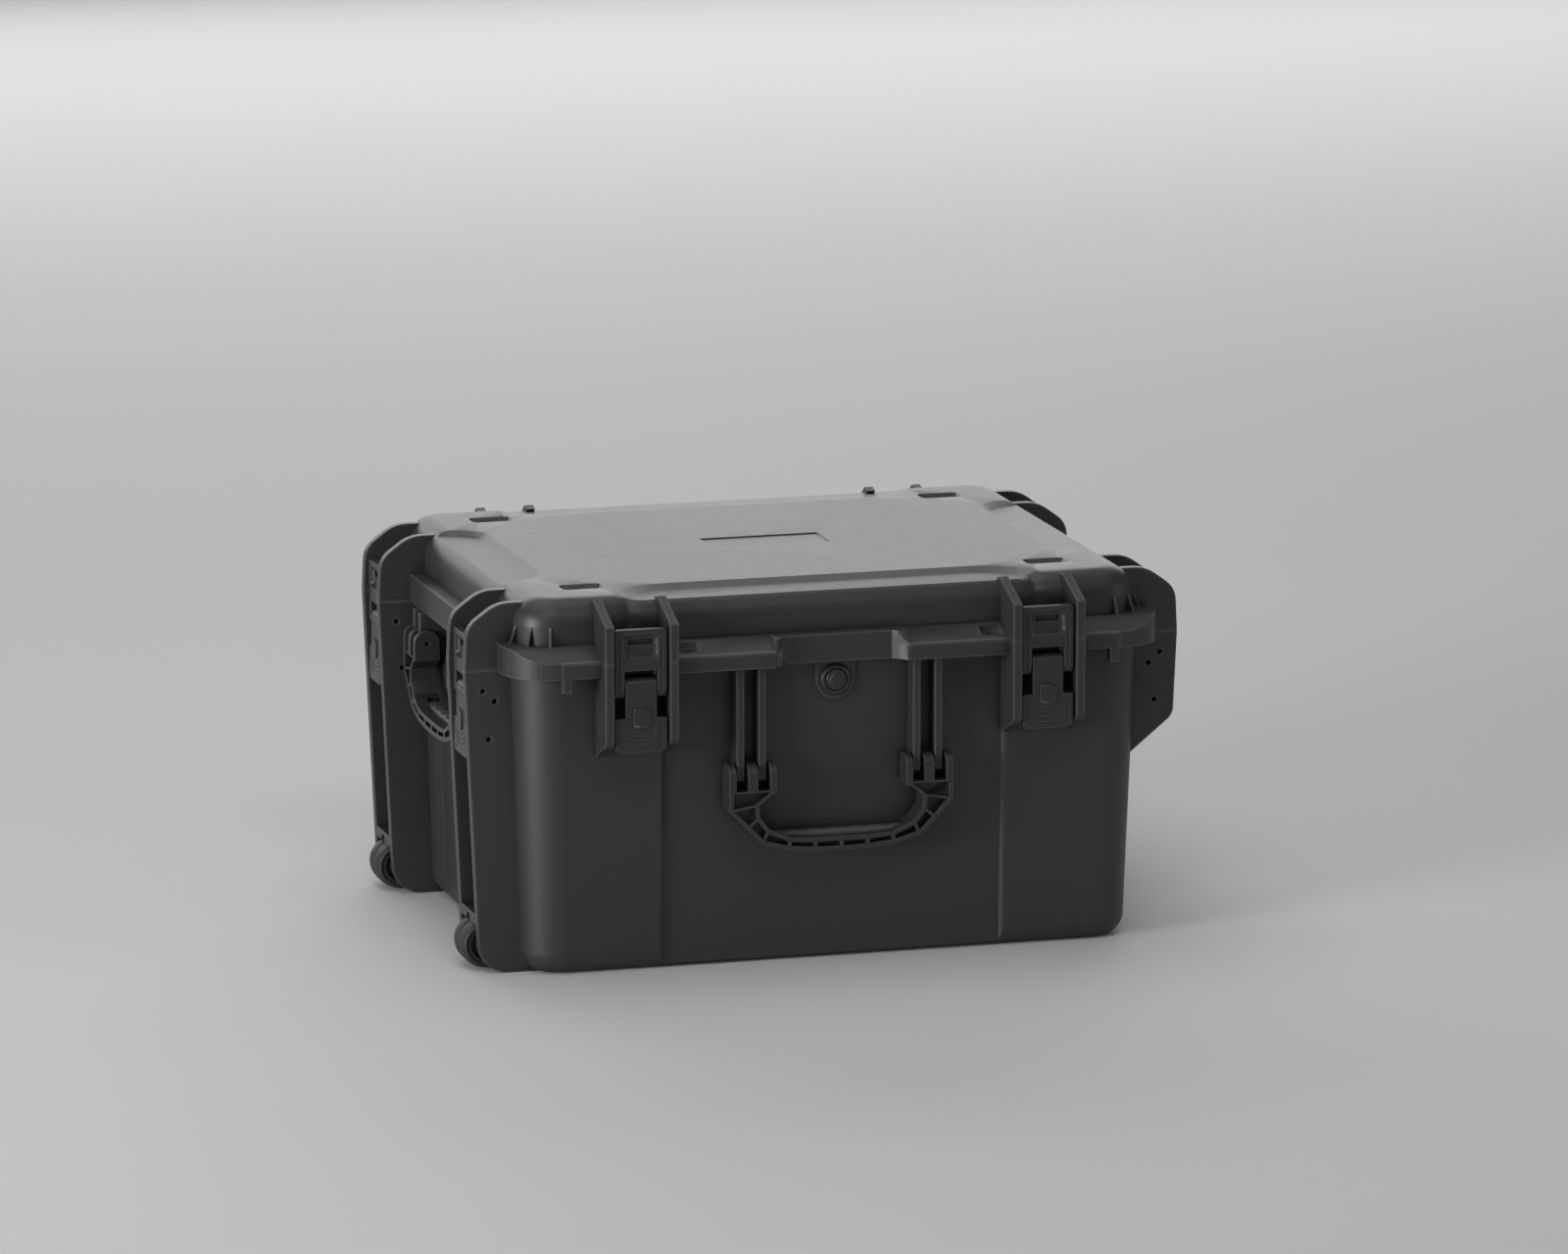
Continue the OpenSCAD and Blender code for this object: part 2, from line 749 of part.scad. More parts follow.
module channel_plan() {
  polygon([[-channel_half, -1], [-channel_root, channel_deep], [channel_root, channel_deep], [channel_half, -1]]);
}

module lid_rim_ring() {
  difference() {
    translate([0, 0, lid_bot]) linear_extrude(lid_rim_h - part_gap) rim_plan();
    rim_slope();
  }
  translate([0, 0, rail_part]) linear_extrude(skirt_h + part_gap + eps) {
    skirt_plan(skirt_t, skirt_front_x, skirt_back_y);
    intersection() {
      scoop_band(skirt_t, 0);
      rim_plan();
    }
  }
}

module lid_outside() {
  lid_form(0, lid_bot, lid_top, top_r);
  lid_rim_ring();
}

// Three upright ribs round each front corner of the lid
module corner_gussets() {
  for (s = [-1, 1], a = [12, 42, 72])
    scale([s, 1, 1]) translate([lid_x0 - lid_r, -lid_y0 + lid_r, rim_top]) rotate([0, 0, a - 90])
      translate([lid_r - 2, gusset_w / 2, 0]) rotate([90, 0, 0]) linear_extrude(gusset_w)
        polygon([[0, -gusset_root], [9.5, -gusset_root], [9.5, 0], [2.5, gusset_h], [0, gusset_h]]);
}

// A dish with sloped walls for the feet of a case on top
module stacking_pocket() {
  low = pocket_deep * pocket_slope;
  intersection() {
    rotate([90, 0, 0]) linear_extrude(pocket_wid + far, center = true)
      pocket_side(pocket_len / 2, low);
    rotate([90, 0, 90]) linear_extrude(pocket_len + far, center = true)
      pocket_side(pocket_wid / 2, low);
    translate([0, 0, -far / 2]) linear_extrude(far) round_rect(pocket_len, pocket_wid, 6);
  }
}

module pocket_side(half, low) {
  polygon([[-half + low, -pocket_deep], [half - low, -pocket_deep], [half, 0], [half, 1], [-half, 1], [-half, 0]]);
}

module lid_shell() {
  color(shell_colour)
  difference() {
    lid_form(0, lid_bot, lid_top, top_r);
    difference() {
      lid_form(wall_t, lid_bot - 1, lid_top - wall_t - strip_deep, top_r - wall_t);
      for (s = [-1, 1]) translate([s * latch_x, -lid_y0 + wall_t + channel_back_t / 2, lid_bot + far / 2])
        cube([channel_back_w, channel_back_t, far + 2], center = true);
    }
    for (a = [0, 180]) rotate([0, 0, a])
      strip_cut(strip_half_x, strip_wid_y, -lid_y0, latch_x + channel_half - strip_half_x,
                channel_half - channel_root);
    for (a = [90, -90]) rotate([0, 0, a])
      strip_cut(strip_half_y, strip_wid_x, -lid_x0, strip_end_share * strip_wid_x, strip_slope);
    for (x = [-1, 1], y = [-1, 1])
      translate([x * pocket_x, y * pocket_y, lid_top]) stacking_pocket();
    translate([0, 0, lid_top - plate_deep]) linear_extrude(far) round_rect(plate_len, plate_wid, 1.5);
    latch_channels();
  }
}

// Rim round the foot of the lid's walls, with its skirt and corner ribs
module lid_rim() {
  color(shell_colour)
  difference() {
    union() {
      lid_rim_ring();
      corner_gussets();
    }
    translate([0, 0, lid_bot - 1]) linear_extrude(lid_h)
      round_rect(2 * (lid_x0 + seat_gap), 2 * (lid_y0 + seat_gap), lid_r + seat_gap);
    padlock_pockets();
    padlock_bore(lid_bot - 1, rim_top + 1);
  }
}

module padlock_pockets() {
  len = 20;
  wid = 17;
  for (s = [-1, 1])
    translate([s * padlock_x - len / 2, -half_y + padlock_in - wid / 2, pocket_floor])
      cube([len, wid, far]);
}

// Lid rails, ears, catches

// Points of a rounded corner at b, cut back by r along both sides
function bend(a, b, c, r) =
  let (p = b + r * (a - b) / norm(a - b), q = b + r * (c - b) / norm(c - b))
  [for (t = [0:0.2:1]) (1 - t) * (1 - t) * p + 2 * t * (1 - t) * b + t * t * q];

module lid_fin() {
  foot = [fin_x, rail_part];
  low = [fin_x - 2, part_z + fin_bend_h];
  high = [low[0] - fin_slope_in, lid_top - fin_top_drop];
  in = [lid_x0 - top_r, high[1]];
  polygon(concat([[in[0], rail_part], foot], bend(foot, low, high, fin_bend_r), bend(low, high, in, fin_bend_r), [in]));
}

module lid_guards(side) {
  color(shell_colour)
  scale([side, 1, 1])
  difference() {
    for (y = [-rail_y, rail_y]) fin_pair(y) lid_fin();
    lid_outside();
    translate([0, 0, rail_part - eps]) linear_extrude(part_gap + eps) square(4 * half_x, center = true);
    translate([0, 0, rail_part - 1]) linear_extrude(skirt_h + 1.2) square([case_len - 1, case_wid], center = true);
  }
}

module lid_ear_shape() {
  in_y = -lid_y0 + top_r;
  polygon([[in_y, lid_bot], [-ear_y, lid_bot], [-ear_y, part_z + ear_bend_h],
           [-lid_y0 + 4, lid_top], [in_y, lid_top - strip_deep]]);
}

module lid_latch_ears() {
  color(shell_colour)
  difference() {
    for (s = [-1, 1]) translate([s * latch_x, 0, 0]) ear_pair(ear_pair_w, ear_t) lid_ear_shape();
    lid_outside();
  }
}

module lid_hinge_shape() {
  in_y = lid_y0 - top_r;
  edge = hinge_y + knuckle_r;
  polygon([[in_y, lid_bot], [hinge_y - knuckle_r, hinge_z - knuckle_r], [hinge_y, hinge_z - knuckle_r],
           [edge, hinge_z], [edge, hinge_z + 12], [lid_y0 - 4, lid_top], [in_y, lid_top - strip_deep]]);
  translate([hinge_y, hinge_z]) circle(knuckle_r);
}

module lid_hinge_ears() {
  color(shell_colour)
  difference() {
    for (s = [-1, 1]) translate([s * hinge_x, 0, 0]) ear_pair(hinge_pair_w, hinge_ear_t) lid_hinge_shape();
    lid_outside();
    hinge_bores();
  }
}

module lid_catches() {
  color(shell_colour)
  difference() {
    for (site = SITES) at_site(site)
      translate([-catch_w / 2, face_in + link_t + catch_gap, catch_lo]) cube([catch_w, far, catch_hi - catch_lo]);
    lid_outside();
    translate([0, 0, rail_part]) linear_extrude(lid_h + skirt_h) round_rect(2 * lid_x0, 2 * lid_y0, lid_r);
  }
}

// Latches

// Moves to a latch site: first axis across, second axis into the case, heights from the parting line
module at_site(site) {
  translate([site[1][0], site[1][1], site[3]]) rotate([0, 0, site[2]]) children();
}

module lever(site) {
  w = site[4];
  back = face_in + lever_t;
  color(trim_colour)
  at_site(site)
  difference() {
    union() {
      across(neck_w) union() {
        polygon([[face_in, -shoulder_drop - 1], [face_in, -pivot_drop - 4],
                 [face_in + lever_top_r, -pivot_drop + boss_r],
                 [pivot_in, -pivot_drop + boss_r], [pivot_in, -pivot_drop - boss_r],
                 [back, -pivot_drop - boss_r - 3], [back, -shoulder_drop - 1]]);
        translate([face_in + lever_top_r, -pivot_drop + boss_r - lever_top_r]) intersection() {
          circle(lever_top_r);
          translate([-lever_top_r, 0]) square(lever_top_r);
        }
        translate([pivot_in, -pivot_drop]) circle(boss_r);
      }
      across(neck_w - 2 * tail_in) union() {
        polygon([[back, -pivot_drop - boss_r], [pivot_in, -pivot_drop], [link_pivot_in, -link_pivot_drop + boss_r],
                 [link_pivot_in, -link_pivot_drop - boss_r], [back, -link_pivot_drop - boss_r]]);
        translate([link_pivot_in, -link_pivot_drop]) circle(boss_r);
      }
      lever_foot(w, back);
    }
    cross_pin(-w, w, pivot_in, -pivot_drop, latch_pin_r + pin_clear);
    cross_pin(-w, w, link_pivot_in, -link_pivot_drop, link_pin_r + pin_clear);
    translate([0, face_in - 1, button_z]) rotate([-90, 0, 0])
      linear_extrude(lever_t + 2) round_rect(button_w + 2 * button_gap, button_h + 2 * button_gap, 3.4);
    lever_face(w);
  }
}

// The wide lower part of a lever, with rounded lower corners
module lever_foot(w, back) {
  r = foot_corner_r;
  h = lever_drop - shoulder_drop;
  translate([0, back, -shoulder_drop - h]) rotate([90, 0, 0]) linear_extrude(lever_t) {
    translate([-w / 2, r]) square([w, h - r]);
    translate([-w / 2 + r, 0]) square([w - 2 * r, h]);
    for (s = [-1, 1]) translate([s * (w / 2 - r), r]) circle(r);
  }
}

// Border line and grip grooves in the lever's face
module lever_face(w) {
  x = w / 2 - border_in;
  z0 = -lever_drop + border_in;
  z1 = -shoulder_drop - 2;
  r = foot_corner_r - border_in / 2;
  translate([0, face_in - 1, 0]) rotate([90, 0, 0]) mirror([0, 0, 1]) linear_extrude(1 + border_deep)
    difference() {
      translate([0, (z0 + z1) / 2]) round_rect(2 * x, z1 - z0, r);
      translate([0, (z0 + z1) / 2]) round_rect(2 * (x - border_w), z1 - z0 - 2 * border_w, r - border_w);
      translate([0, z1]) square([2 * x, 2 * r], center = true);
    }
  for (i = [0:2])
    translate([0, face_in - 1, -lever_drop + 9.5 + 4.5 * i]) rotate([-90, 0, 0]) linear_extrude(1 + groove_deep)
      grip_groove();
}

// A line that sags in its middle
module grip_groove() {
  intersection() {
    translate([0, -groove_r]) difference() {
      circle(groove_r + groove_line / 2);
      circle(groove_r - groove_line / 2);
    }
    square([groove_w, groove_r], center = true);
  }
}

module link(site) {
  w = site[4];
  arm_in = neck_w / 2 + arm_gap;
  bar_z = link_bar_z;
  back = face_in + link_t;
  r = link_boss_r;
  color(trim_colour)
  at_site(site)
  difference() {
    union() {
      translate([0, back, (link_up + bar_z) / 2]) rotate([90, 0, 0]) linear_extrude(link_t)
        round_rect(w, link_up - bar_z, link_corner_r);
      for (s = [-1, 1])
        translate([s * (w / 2 + arm_in) / 2, 0, 0]) across(w / 2 - arm_in) union() {
          polygon([[face_in, bar_z + 1 + link_corner_r], [face_in, -link_pivot_drop + 3],
                   [face_in + 3, -link_pivot_drop - 3], [face_in + 8, -link_pivot_drop - r],
                   [link_pivot_in, -link_pivot_drop - r], [link_pivot_in, -link_pivot_drop + r],
                   [back + 1, -link_pivot_drop + r], [back, -link_pivot_drop + 8],
                   [back, bar_z + 1 + link_corner_r]]);
          translate([link_pivot_in, -link_pivot_drop]) circle(r);
        }
    }
    cross_pin(-w, w, link_pivot_in, -link_pivot_drop, link_pin_r + pin_clear);
    link_window();
    for (s = [-1, 1])
      translate([s * (w / 2 - 4.5) - 0.6, face_in - 1, -link_pivot_drop - 6])
        cube([1.2, 1 + 1, link_pivot_drop + link_up]);
  }
}

// Dished window with a slot through its floor
module link_window() {
  translate([0, face_in + window_deep, window_z]) rotate([90, 0, 0])
    linear_extrude(window_deep + 1) round_rect(window_w, window_h, 6);
  translate([0, face_in + link_t + 1, window_z + slot_up]) rotate([90, 0, 0])
    linear_extrude(link_t + 2) round_rect(window_w - 8, window_slot_h, 2);
}

module link_pin(site) {
  color(metal_colour)
  at_site(site)
    cross_pin(-site[4] / 2 + 1, site[4] / 2 - 1, link_pivot_in, -link_pivot_drop, link_pin_r);
}

module button(site) {
  back = face_in + lever_t;
  color(trim_colour)
  at_site(site) {
    translate([0, back + 0.3, button_z]) rotate([90, 0, 0])
      linear_extrude(lever_t + 0.3 + button_proud) round_rect(button_w, button_h, 3);
    translate([-button_w / 2 - 1.4, back + 0.3, button_z - 8]) cube([button_w + 2.8, 1.6, 16]);
    translate([-5, back + 0.3, -catch_drop + latch_pin_r + 1]) cube([10, catch_in + 1 - back - 0.3, 6]);
  }
}

// One pin a latch at a depth and drop, sunk into the ears' or fins' outer faces
module site_pins(d, drop) {
  for (site = SITES) {
    half = (site[2] == 0 ? ear_pair_w : rail_w) / 2 - pin_sunk;
    at_site(site) cross_pin(-half, half, d, -drop, latch_pin_r);
  }
}

module latch_pins() {
  color(metal_colour) {
    site_pins(pivot_in, pivot_drop);
    site_pins(catch_in, catch_drop);
  }
}

module hinge_pins() {
  color(metal_colour)
  for (s = [-1, 1]) translate([s * hinge_x, 0, 0])
    cross_pin(-hinge_base_w / 2, hinge_base_w / 2, hinge_y, hinge_z, hinge_pin_r);
}

// Handles

// Moves to a handle site: first axis along the pin, second axis towards the case from its wall
module at_handle(h) {
  translate(h[0]) rotate([0, 0, h[1]]) children();
}

// Half outline of the handle, as pairs of outer and inner points from the neck to the middle
function handle_stations() = [
  [[handle_half, -prong_r - 1], [prong_in[0], -prong_r - 1]],
  [[handle_half, -32], [81.5, -27]],
  [[94, -50], [81, -39]],
  [[78, -handle_drop + 10], [72, -51]],
  [[52, -handle_drop + 3], [51, -grip_drop + 1.5]],
  [[26, -handle_drop + 0.7], [26, -grip_drop]],
  [[0, -handle_drop], [0, -grip_drop]]
];

function mix(a, b, t) = a + (b - a) * t;

module handle_cell(p, q) {
  polygon([p[0], q[0], q[1], p[1]]);
}

// The pocket between two stations, inside the rims and the cross webs
module handle_cell_pocket(p, q) {
  web = 0.07;
  rim_p = handle_rim / norm(p[0] - p[1]);
  rim_q = handle_rim / norm(q[0] - q[1]);
  a = [mix(p[0], p[1], rim_p), mix(p[0], p[1], 1 - rim_p)];
  b = [mix(q[0], q[1], rim_q), mix(q[0], q[1], 1 - rim_q)];
  polygon([mix(a[0], b[0], web), mix(a[0], b[0], 1 - web), mix(a[1], b[1], 1 - web), mix(a[1], b[1], web)]);
}

module prong(range) {
  translate([range[0], -handle_out, 0]) rotate([0, 90, 0]) cylinder(r = prong_r, h = range[1] - range[0]);
  translate([range[0], -handle_out - prong_r, -prong_r - 4])
    cube([range[1] - range[0], 2 * prong_r, prong_r + 4]);
}

module handle_plate() {
  st = handle_stations();
  for (i = [0:len(st) - 2]) handle_cell(st[i], st[i + 1]);
}

module handle_frame(h) {
  st = handle_stations();
  front = -handle_out - prong_r;
  color(trim_colour)
  at_handle(h)
  difference() {
    for (s = [-1, 1]) scale([s, 1, 1]) {
      prong(prong_in);
      prong(prong_mid);
      prong(prong_out);
      translate([0, front + 2 * prong_r, 0]) rotate([90, 0, 0]) linear_extrude(2 * prong_r) handle_plate();
    }
    for (s = [-1, 1]) scale([s, 1, 1])
      translate([0, front + handle_pocket, 0]) rotate([90, 0, 0]) linear_extrude(handle_pocket + 1)
        for (i = [0:len(st) - 2]) handle_cell_pocket(st[i], st[i + 1]);
    grip_space();
    for (s = [-1, 1]) cross_pin(s > 0 ? 50 : -130, s > 0 ? 130 : -50, -handle_out, 0, handle_pin_r + pin_clear);
  }
}

// The space of the soft grip behind the front rims
module grip_space() {
  translate([-grip_half, grip_front, -handle_drop - 1])
    cube([2 * grip_half, 2 * prong_r, handle_drop - grip_drop + 14]);
}

module handle_grip(h) {
  y0 = grip_front + grip_play;
  y1 = -handle_out + prong_r;
  top = -grip_drop + grip_show;
  bot = -handle_drop + 3;
  color(rubber_colour)
  at_handle(h)
  across(2 * (grip_half - 2 * grip_play))
    polygon([[y0, bot], [y0, top - 2], [y0 + 3, top], [y1 - 3, top], [y1, top - 3], [y1, bot + 3], [y1 - 3, bot]]);
}

module handle_ribs() {
  color(shell_colour)
  for (h = HANDLES) at_handle(h)
  difference() {
    for (s = [-1, 1], x = [rib_x1, rib_x2]) translate([s * (x + rib_t / 2), 0, 0]) across(rib_t)
      rib_shape(h[2], rim_bot - h[0][2]);
    for (s = [-1, 1]) cross_pin(s > 0 ? 50 : -130, s > 0 ? 130 : -50, -handle_out, 0, handle_pin_r + pin_clear);
  }
}

// Side of a wall rib, from the rim's underside to below the handle's pivot
module rib_shape(root, top) {
  out = -handle_out - 5;
  low = -9;
  polygon([[root - top * tan(draft), top], [out, top], [out, low + 5], [out + 5, low],
           [root - low * tan(draft), low]]);
}

module handle_pins() {
  color(metal_colour)
  for (h = HANDLES) at_handle(h)
    for (s = [-1, 1])
      cross_pin(s > 0 ? prong_in[0] + 1 : -handle_half + 1.5, s > 0 ? handle_half - 1.5 : -prong_in[0] - 1,
                -handle_out, 0, handle_pin_r);
}

// Wheels

module at_wheel(y) {
  translate([-wheel_x, y, wheel_z]) rotate([90, 0, 0]) children();
}

module wheel_hub(y) {
  color(trim_colour)
  at_wheel(y)
  difference() {
    cylinder(r = hub_r, h = wheel_w - 4, center = true);
    cylinder(r = axle_r + pin_clear, h = wheel_w, center = true);
    for (s = [-1, 1]) translate([0, 0, s * (wheel_w / 2 - 2)]) difference() {
      cylinder(r = hub_r - 3, h = 8, center = true);
      cylinder(r = axle_r + 3, h = 9, center = true);
    }
  }
}

module wheel_tyre(y) {
  r = 3;
  groove = 3;
  color(rubber_colour)
  at_wheel(y)
  rotate_extrude() polygon([
    [hub_r + pin_clear, -wheel_w / 2 + 2], [wheel_r - r, -wheel_w / 2], [wheel_r, -wheel_w / 2 + r],
    [wheel_r, -groove], [wheel_r - 3, -groove + 1], [wheel_r - 3, groove - 1], [wheel_r, groove],
    [wheel_r, wheel_w / 2 - r], [wheel_r - r, wheel_w / 2], [hub_r + pin_clear, wheel_w / 2 - 2]]);
}

module wheel_axles() {
  color(metal_colour)
  for (y = [-rail_y, rail_y]) at_wheel(y) cylinder(r = axle_r, h = fin_gap_w + 7, center = true);
}

module wheel_brackets() {
  web_z = wheel_z + wheel_r + 2.5;
  web_h = 6;
  out = fin_edge(web_z);
  in = wall_x(web_z + web_h) + 0.2;
  w = fin_gap_w;
  color(trim_colour)
  scale([-1, 1, 1])
  difference() {
    for (y = [-rail_y, rail_y]) {
      for (s = [-1, 1])
        translate([in, y + s * (w - bracket_t) / 2 - bracket_t / 2, 8])
          cube([out - in - 8, bracket_t, web_z + web_h - 8]);
      translate([in + 3, y - w / 2, web_z]) cube([out - in - 3, w, web_h]);
      translate([out - bracket_t, y - w / 2, web_z - 3.5]) cube([bracket_t, w, 5]);
    }
    for (y = [-rail_y, rail_y]) {
      axle_bore(y);
      translate([out - 8, y, web_z - 4]) rotate([0, 90, 0]) cylinder(r = 7, h = 12);
    }
  }
}

// Pressure valve

module at_valve() {
  translate([0, -valve_wall - 3, valve_z]) rotate([90, 0, 0]) children();
}

module valve_body() {
  collar_h = 4;
  color(trim_colour)
  at_valve()
  difference() {
    union() {
      cylinder(r1 = valve_r, r2 = valve_r - 1.2, h = collar_h);
      translate([0, 0, -3 - wall_t + 0.4]) cylinder(r = valve_stem_r, h = 3 + wall_t);
    }
    translate([0, 0, collar_h - 2.5]) cylinder(r = valve_knob_r + 0.3, h = far);
    translate([0, 0, -3]) cylinder(r = 3 + pin_clear, h = far);
    for (a = [0:60:300]) rotate([0, 0, a]) translate([valve_knob_r + 2.4, 0, collar_h - 1.2])
      cylinder(r = 1.1, h = far);
  }
}

module valve_knob() {
  color(trim_colour)
  at_valve() {
    translate([0, 0, 1.8]) cylinder(r = valve_knob_r, h = 3.4);
    translate([0, 0, 5.2]) cylinder(r = valve_knob_r - 1.6, h = 1.2, $fn = 6);
    translate([0, 0, -2]) cylinder(r = 3, h = 4);
  }
}

// Lining

module foam_floor() {
  z0 = floor_t + 0.5;
  z1 = floor_t + foam_floor_t;
  color(foam_colour)
  hull() {
    slice(z0, wall_x(z0) - bottom_r - 8, wall_y(z0) - bottom_r - 8, 20);
    slice(z0 + bottom_r, foam_len / 2, wall_y(z1) - wall_t - foam_gap - panel_deep, 20);
    slice(z1, foam_len / 2, wall_y(z1) - wall_t - foam_gap - panel_deep, 20);
  }
}

module foam_side_walls() {
  color(foam_colour)
  for (s = [-1, 1]) scale([1, s, 1])
  hull() {
    for (z = [slot_z0 - 0.7, foam_top])
      translate([0, 0, z]) linear_extrude(eps) intersection() {
        x = wall_x(z) - wall_t - foam_gap - panel_deep;
        y = wall_y(z) - wall_t - foam_gap - panel_deep;
        round_rect(2 * x, 2 * y, wall_r - wall_t, $fn = hull_fn);
        translate([-x, -y]) square([2 * x, y - slot_len / 2]);
      }
  }
}

module foam_dividers() {
  wid = slot_len - 0.6;
  h = foam_top - slot_z0;
  color(foam_colour) {
    for (i = [1:slot_count - 1])
      translate([-slot_span / 2 + i * (slot_w + divider_t) - divider_t, -wid / 2, slot_z0])
        cube([divider_t, wid, h]);
    for (s = [-1, 1]) scale([s, 1, 1]) translate([0, wid / 2, 0]) rotate([90, 0, 0]) linear_extrude(wid)
      polygon([[slot_span / 2, slot_z0], [foam_len / 2, slot_z0],
               [foam_len / 2 + (foam_top - slot_z0) * tan(draft), foam_top], [slot_span / 2, foam_top]]);
  }
}

module lid_foam() {
  top = lid_top - wall_t - strip_deep - 0.5;
  bot = part_z - foam_top_gap + 2;
  color(foam_colour)
  hull() {
    slice(bot, wall_x(part_z) - wall_t - 12, wall_y(part_z) - wall_t - 12, 24);
    slice(lid_bot + 6, lid_x0 - wall_t - 10.5, lid_y0 - wall_t - 10.5, 22);
    slice(top - top_r + wall_t, lid_x0 - wall_t - 10.5, lid_y0 - wall_t - 10.5, 22);
    slice(top, lid_x0 - top_r - 2, lid_y0 - top_r - 2, 14);
  }
}

module rim_seal() {
  color(rubber_colour)
  translate([0, 0, part_z - seal_deep]) linear_extrude(seal_deep - 0.1) seal_ring(-0.1);
}

base_tub();
base_rim();
base_guards(-1);  // base_left_guards
base_guards(1);  // base_right_guards
base_latch_ears();
base_hinge_ears();
handle_ribs();
foam_floor();
foam_side_walls();
foam_dividers();
rim_seal();
valve_body();
valve_knob();
latch_pins();
handle_pins();
hinge_pins();
wheel_axles();
wheel_brackets();
lid_shell();
lid_rim();
lid_guards(-1);  // lid_left_guards
lid_guards(1);  // lid_right_guards
lid_latch_ears();
lid_hinge_ears();
lid_catches();
lid_foam();
handle_frame(HANDLES[0]);  // front_handle_frame
handle_grip(HANDLES[0]);  // front_handle_grip
handle_frame(HANDLES[1]);  // left_handle_frame
handle_grip(HANDLES[1]);  // left_handle_grip
handle_frame(HANDLES[2]);  // right_handle_frame
handle_grip(HANDLES[2]);  // right_handle_grip
lever(SITES[0]);  // front_left_lever
link(SITES[0]);  // front_left_link
button(SITES[0]);  // front_left_button
link_pin(SITES[0]);  // front_left_link_pin
lever(SITES[1]);  // front_right_lever
link(SITES[1]);  // front_right_link
button(SITES[1]);  // front_right_button
link_pin(SITES[1]);  // front_right_link_pin
lever(SITES[2]);  // left_front_lever
link(SITES[2]);  // left_front_link
button(SITES[2]);  // left_front_button
link_pin(SITES[2]);  // left_front_link_pin
lever(SITES[3]);  // left_rear_lever
link(SITES[3]);  // left_rear_link
button(SITES[3]);  // left_rear_button
link_pin(SITES[3]);  // left_rear_link_pin
lever(SITES[4]);  // right_front_lever
link(SITES[4]);  // right_front_link
button(SITES[4]);  // right_front_button
link_pin(SITES[4]);  // right_front_link_pin
lever(SITES[5]);  // right_rear_lever
link(SITES[5]);  // right_rear_link
button(SITES[5]);  // right_rear_button
link_pin(SITES[5]);  // right_rear_link_pin
wheel_hub(-rail_y);  // front_wheel_hub
wheel_tyre(-rail_y);  // front_wheel_tyre
wheel_hub(rail_y);  // rear_wheel_hub
wheel_tyre(rail_y);  // rear_wheel_tyre
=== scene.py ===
"""Looks of a wheeled laptop hard case: moulded shells, latches, drop handles, wheels and foam lining.

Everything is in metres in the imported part's frame: the front with the valve is at -Y, the wheels at -X.
"""

from __future__ import annotations

import json
import logging
import math
from dataclasses import dataclass, field
from enum import Enum
from typing import Callable, Sequence

import bmesh
import bpy
import numpy as np
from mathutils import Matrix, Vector

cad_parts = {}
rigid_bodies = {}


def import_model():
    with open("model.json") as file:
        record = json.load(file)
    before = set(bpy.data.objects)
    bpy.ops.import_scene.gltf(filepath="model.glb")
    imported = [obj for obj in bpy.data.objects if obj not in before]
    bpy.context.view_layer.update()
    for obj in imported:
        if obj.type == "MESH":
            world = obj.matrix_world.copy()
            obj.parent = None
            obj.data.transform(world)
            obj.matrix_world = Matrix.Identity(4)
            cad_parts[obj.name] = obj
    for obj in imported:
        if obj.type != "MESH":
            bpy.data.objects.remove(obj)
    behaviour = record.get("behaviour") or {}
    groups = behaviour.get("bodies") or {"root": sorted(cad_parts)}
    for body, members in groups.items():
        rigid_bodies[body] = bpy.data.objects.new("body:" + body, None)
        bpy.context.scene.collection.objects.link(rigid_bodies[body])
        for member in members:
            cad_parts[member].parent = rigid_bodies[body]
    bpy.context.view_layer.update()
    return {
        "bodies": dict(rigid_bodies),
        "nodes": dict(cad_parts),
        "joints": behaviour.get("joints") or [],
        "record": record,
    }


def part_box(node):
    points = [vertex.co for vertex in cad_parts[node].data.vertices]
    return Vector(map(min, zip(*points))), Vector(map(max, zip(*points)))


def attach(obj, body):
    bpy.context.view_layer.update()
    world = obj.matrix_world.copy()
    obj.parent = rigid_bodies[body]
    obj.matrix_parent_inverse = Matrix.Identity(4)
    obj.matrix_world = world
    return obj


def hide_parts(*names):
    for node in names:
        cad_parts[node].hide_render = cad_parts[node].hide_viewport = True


LOG = logging.getLogger("laptop_case")
MM = 0.001
Array = np.ndarray
# Sockets of a Mix node that mixes colours
MIX_FACTOR, MIX_A, MIX_B, MIX_RESULT = 0, 6, 7, 2
# Points nearer than this are one, in pieces made here and in copies of CAD nodes
MERGE_MADE = 2e-6
MERGE_CAD = 4e-6
# Faces and edges smaller than this go
SLIVER = 1e-6
# Angle above which an edge stays sharp in a copy of a CAD node, in degrees
CAD_SHARP = 19.0


class Slot(Enum):
    """The record's material slots."""

    SHELL = "shell"
    TRIM = "trim"
    GRIP = "grip"
    FOAM = "foam"
    SEAL = "seal"
    TYRE = "tyre"
    PIN = "pin"


class Side(Enum):
    """The wall a latch or handle sits on: how its own frame turns about Z, in degrees."""

    FRONT = 0.0
    LEFT = -90.0
    RIGHT = 90.0


# shader maths


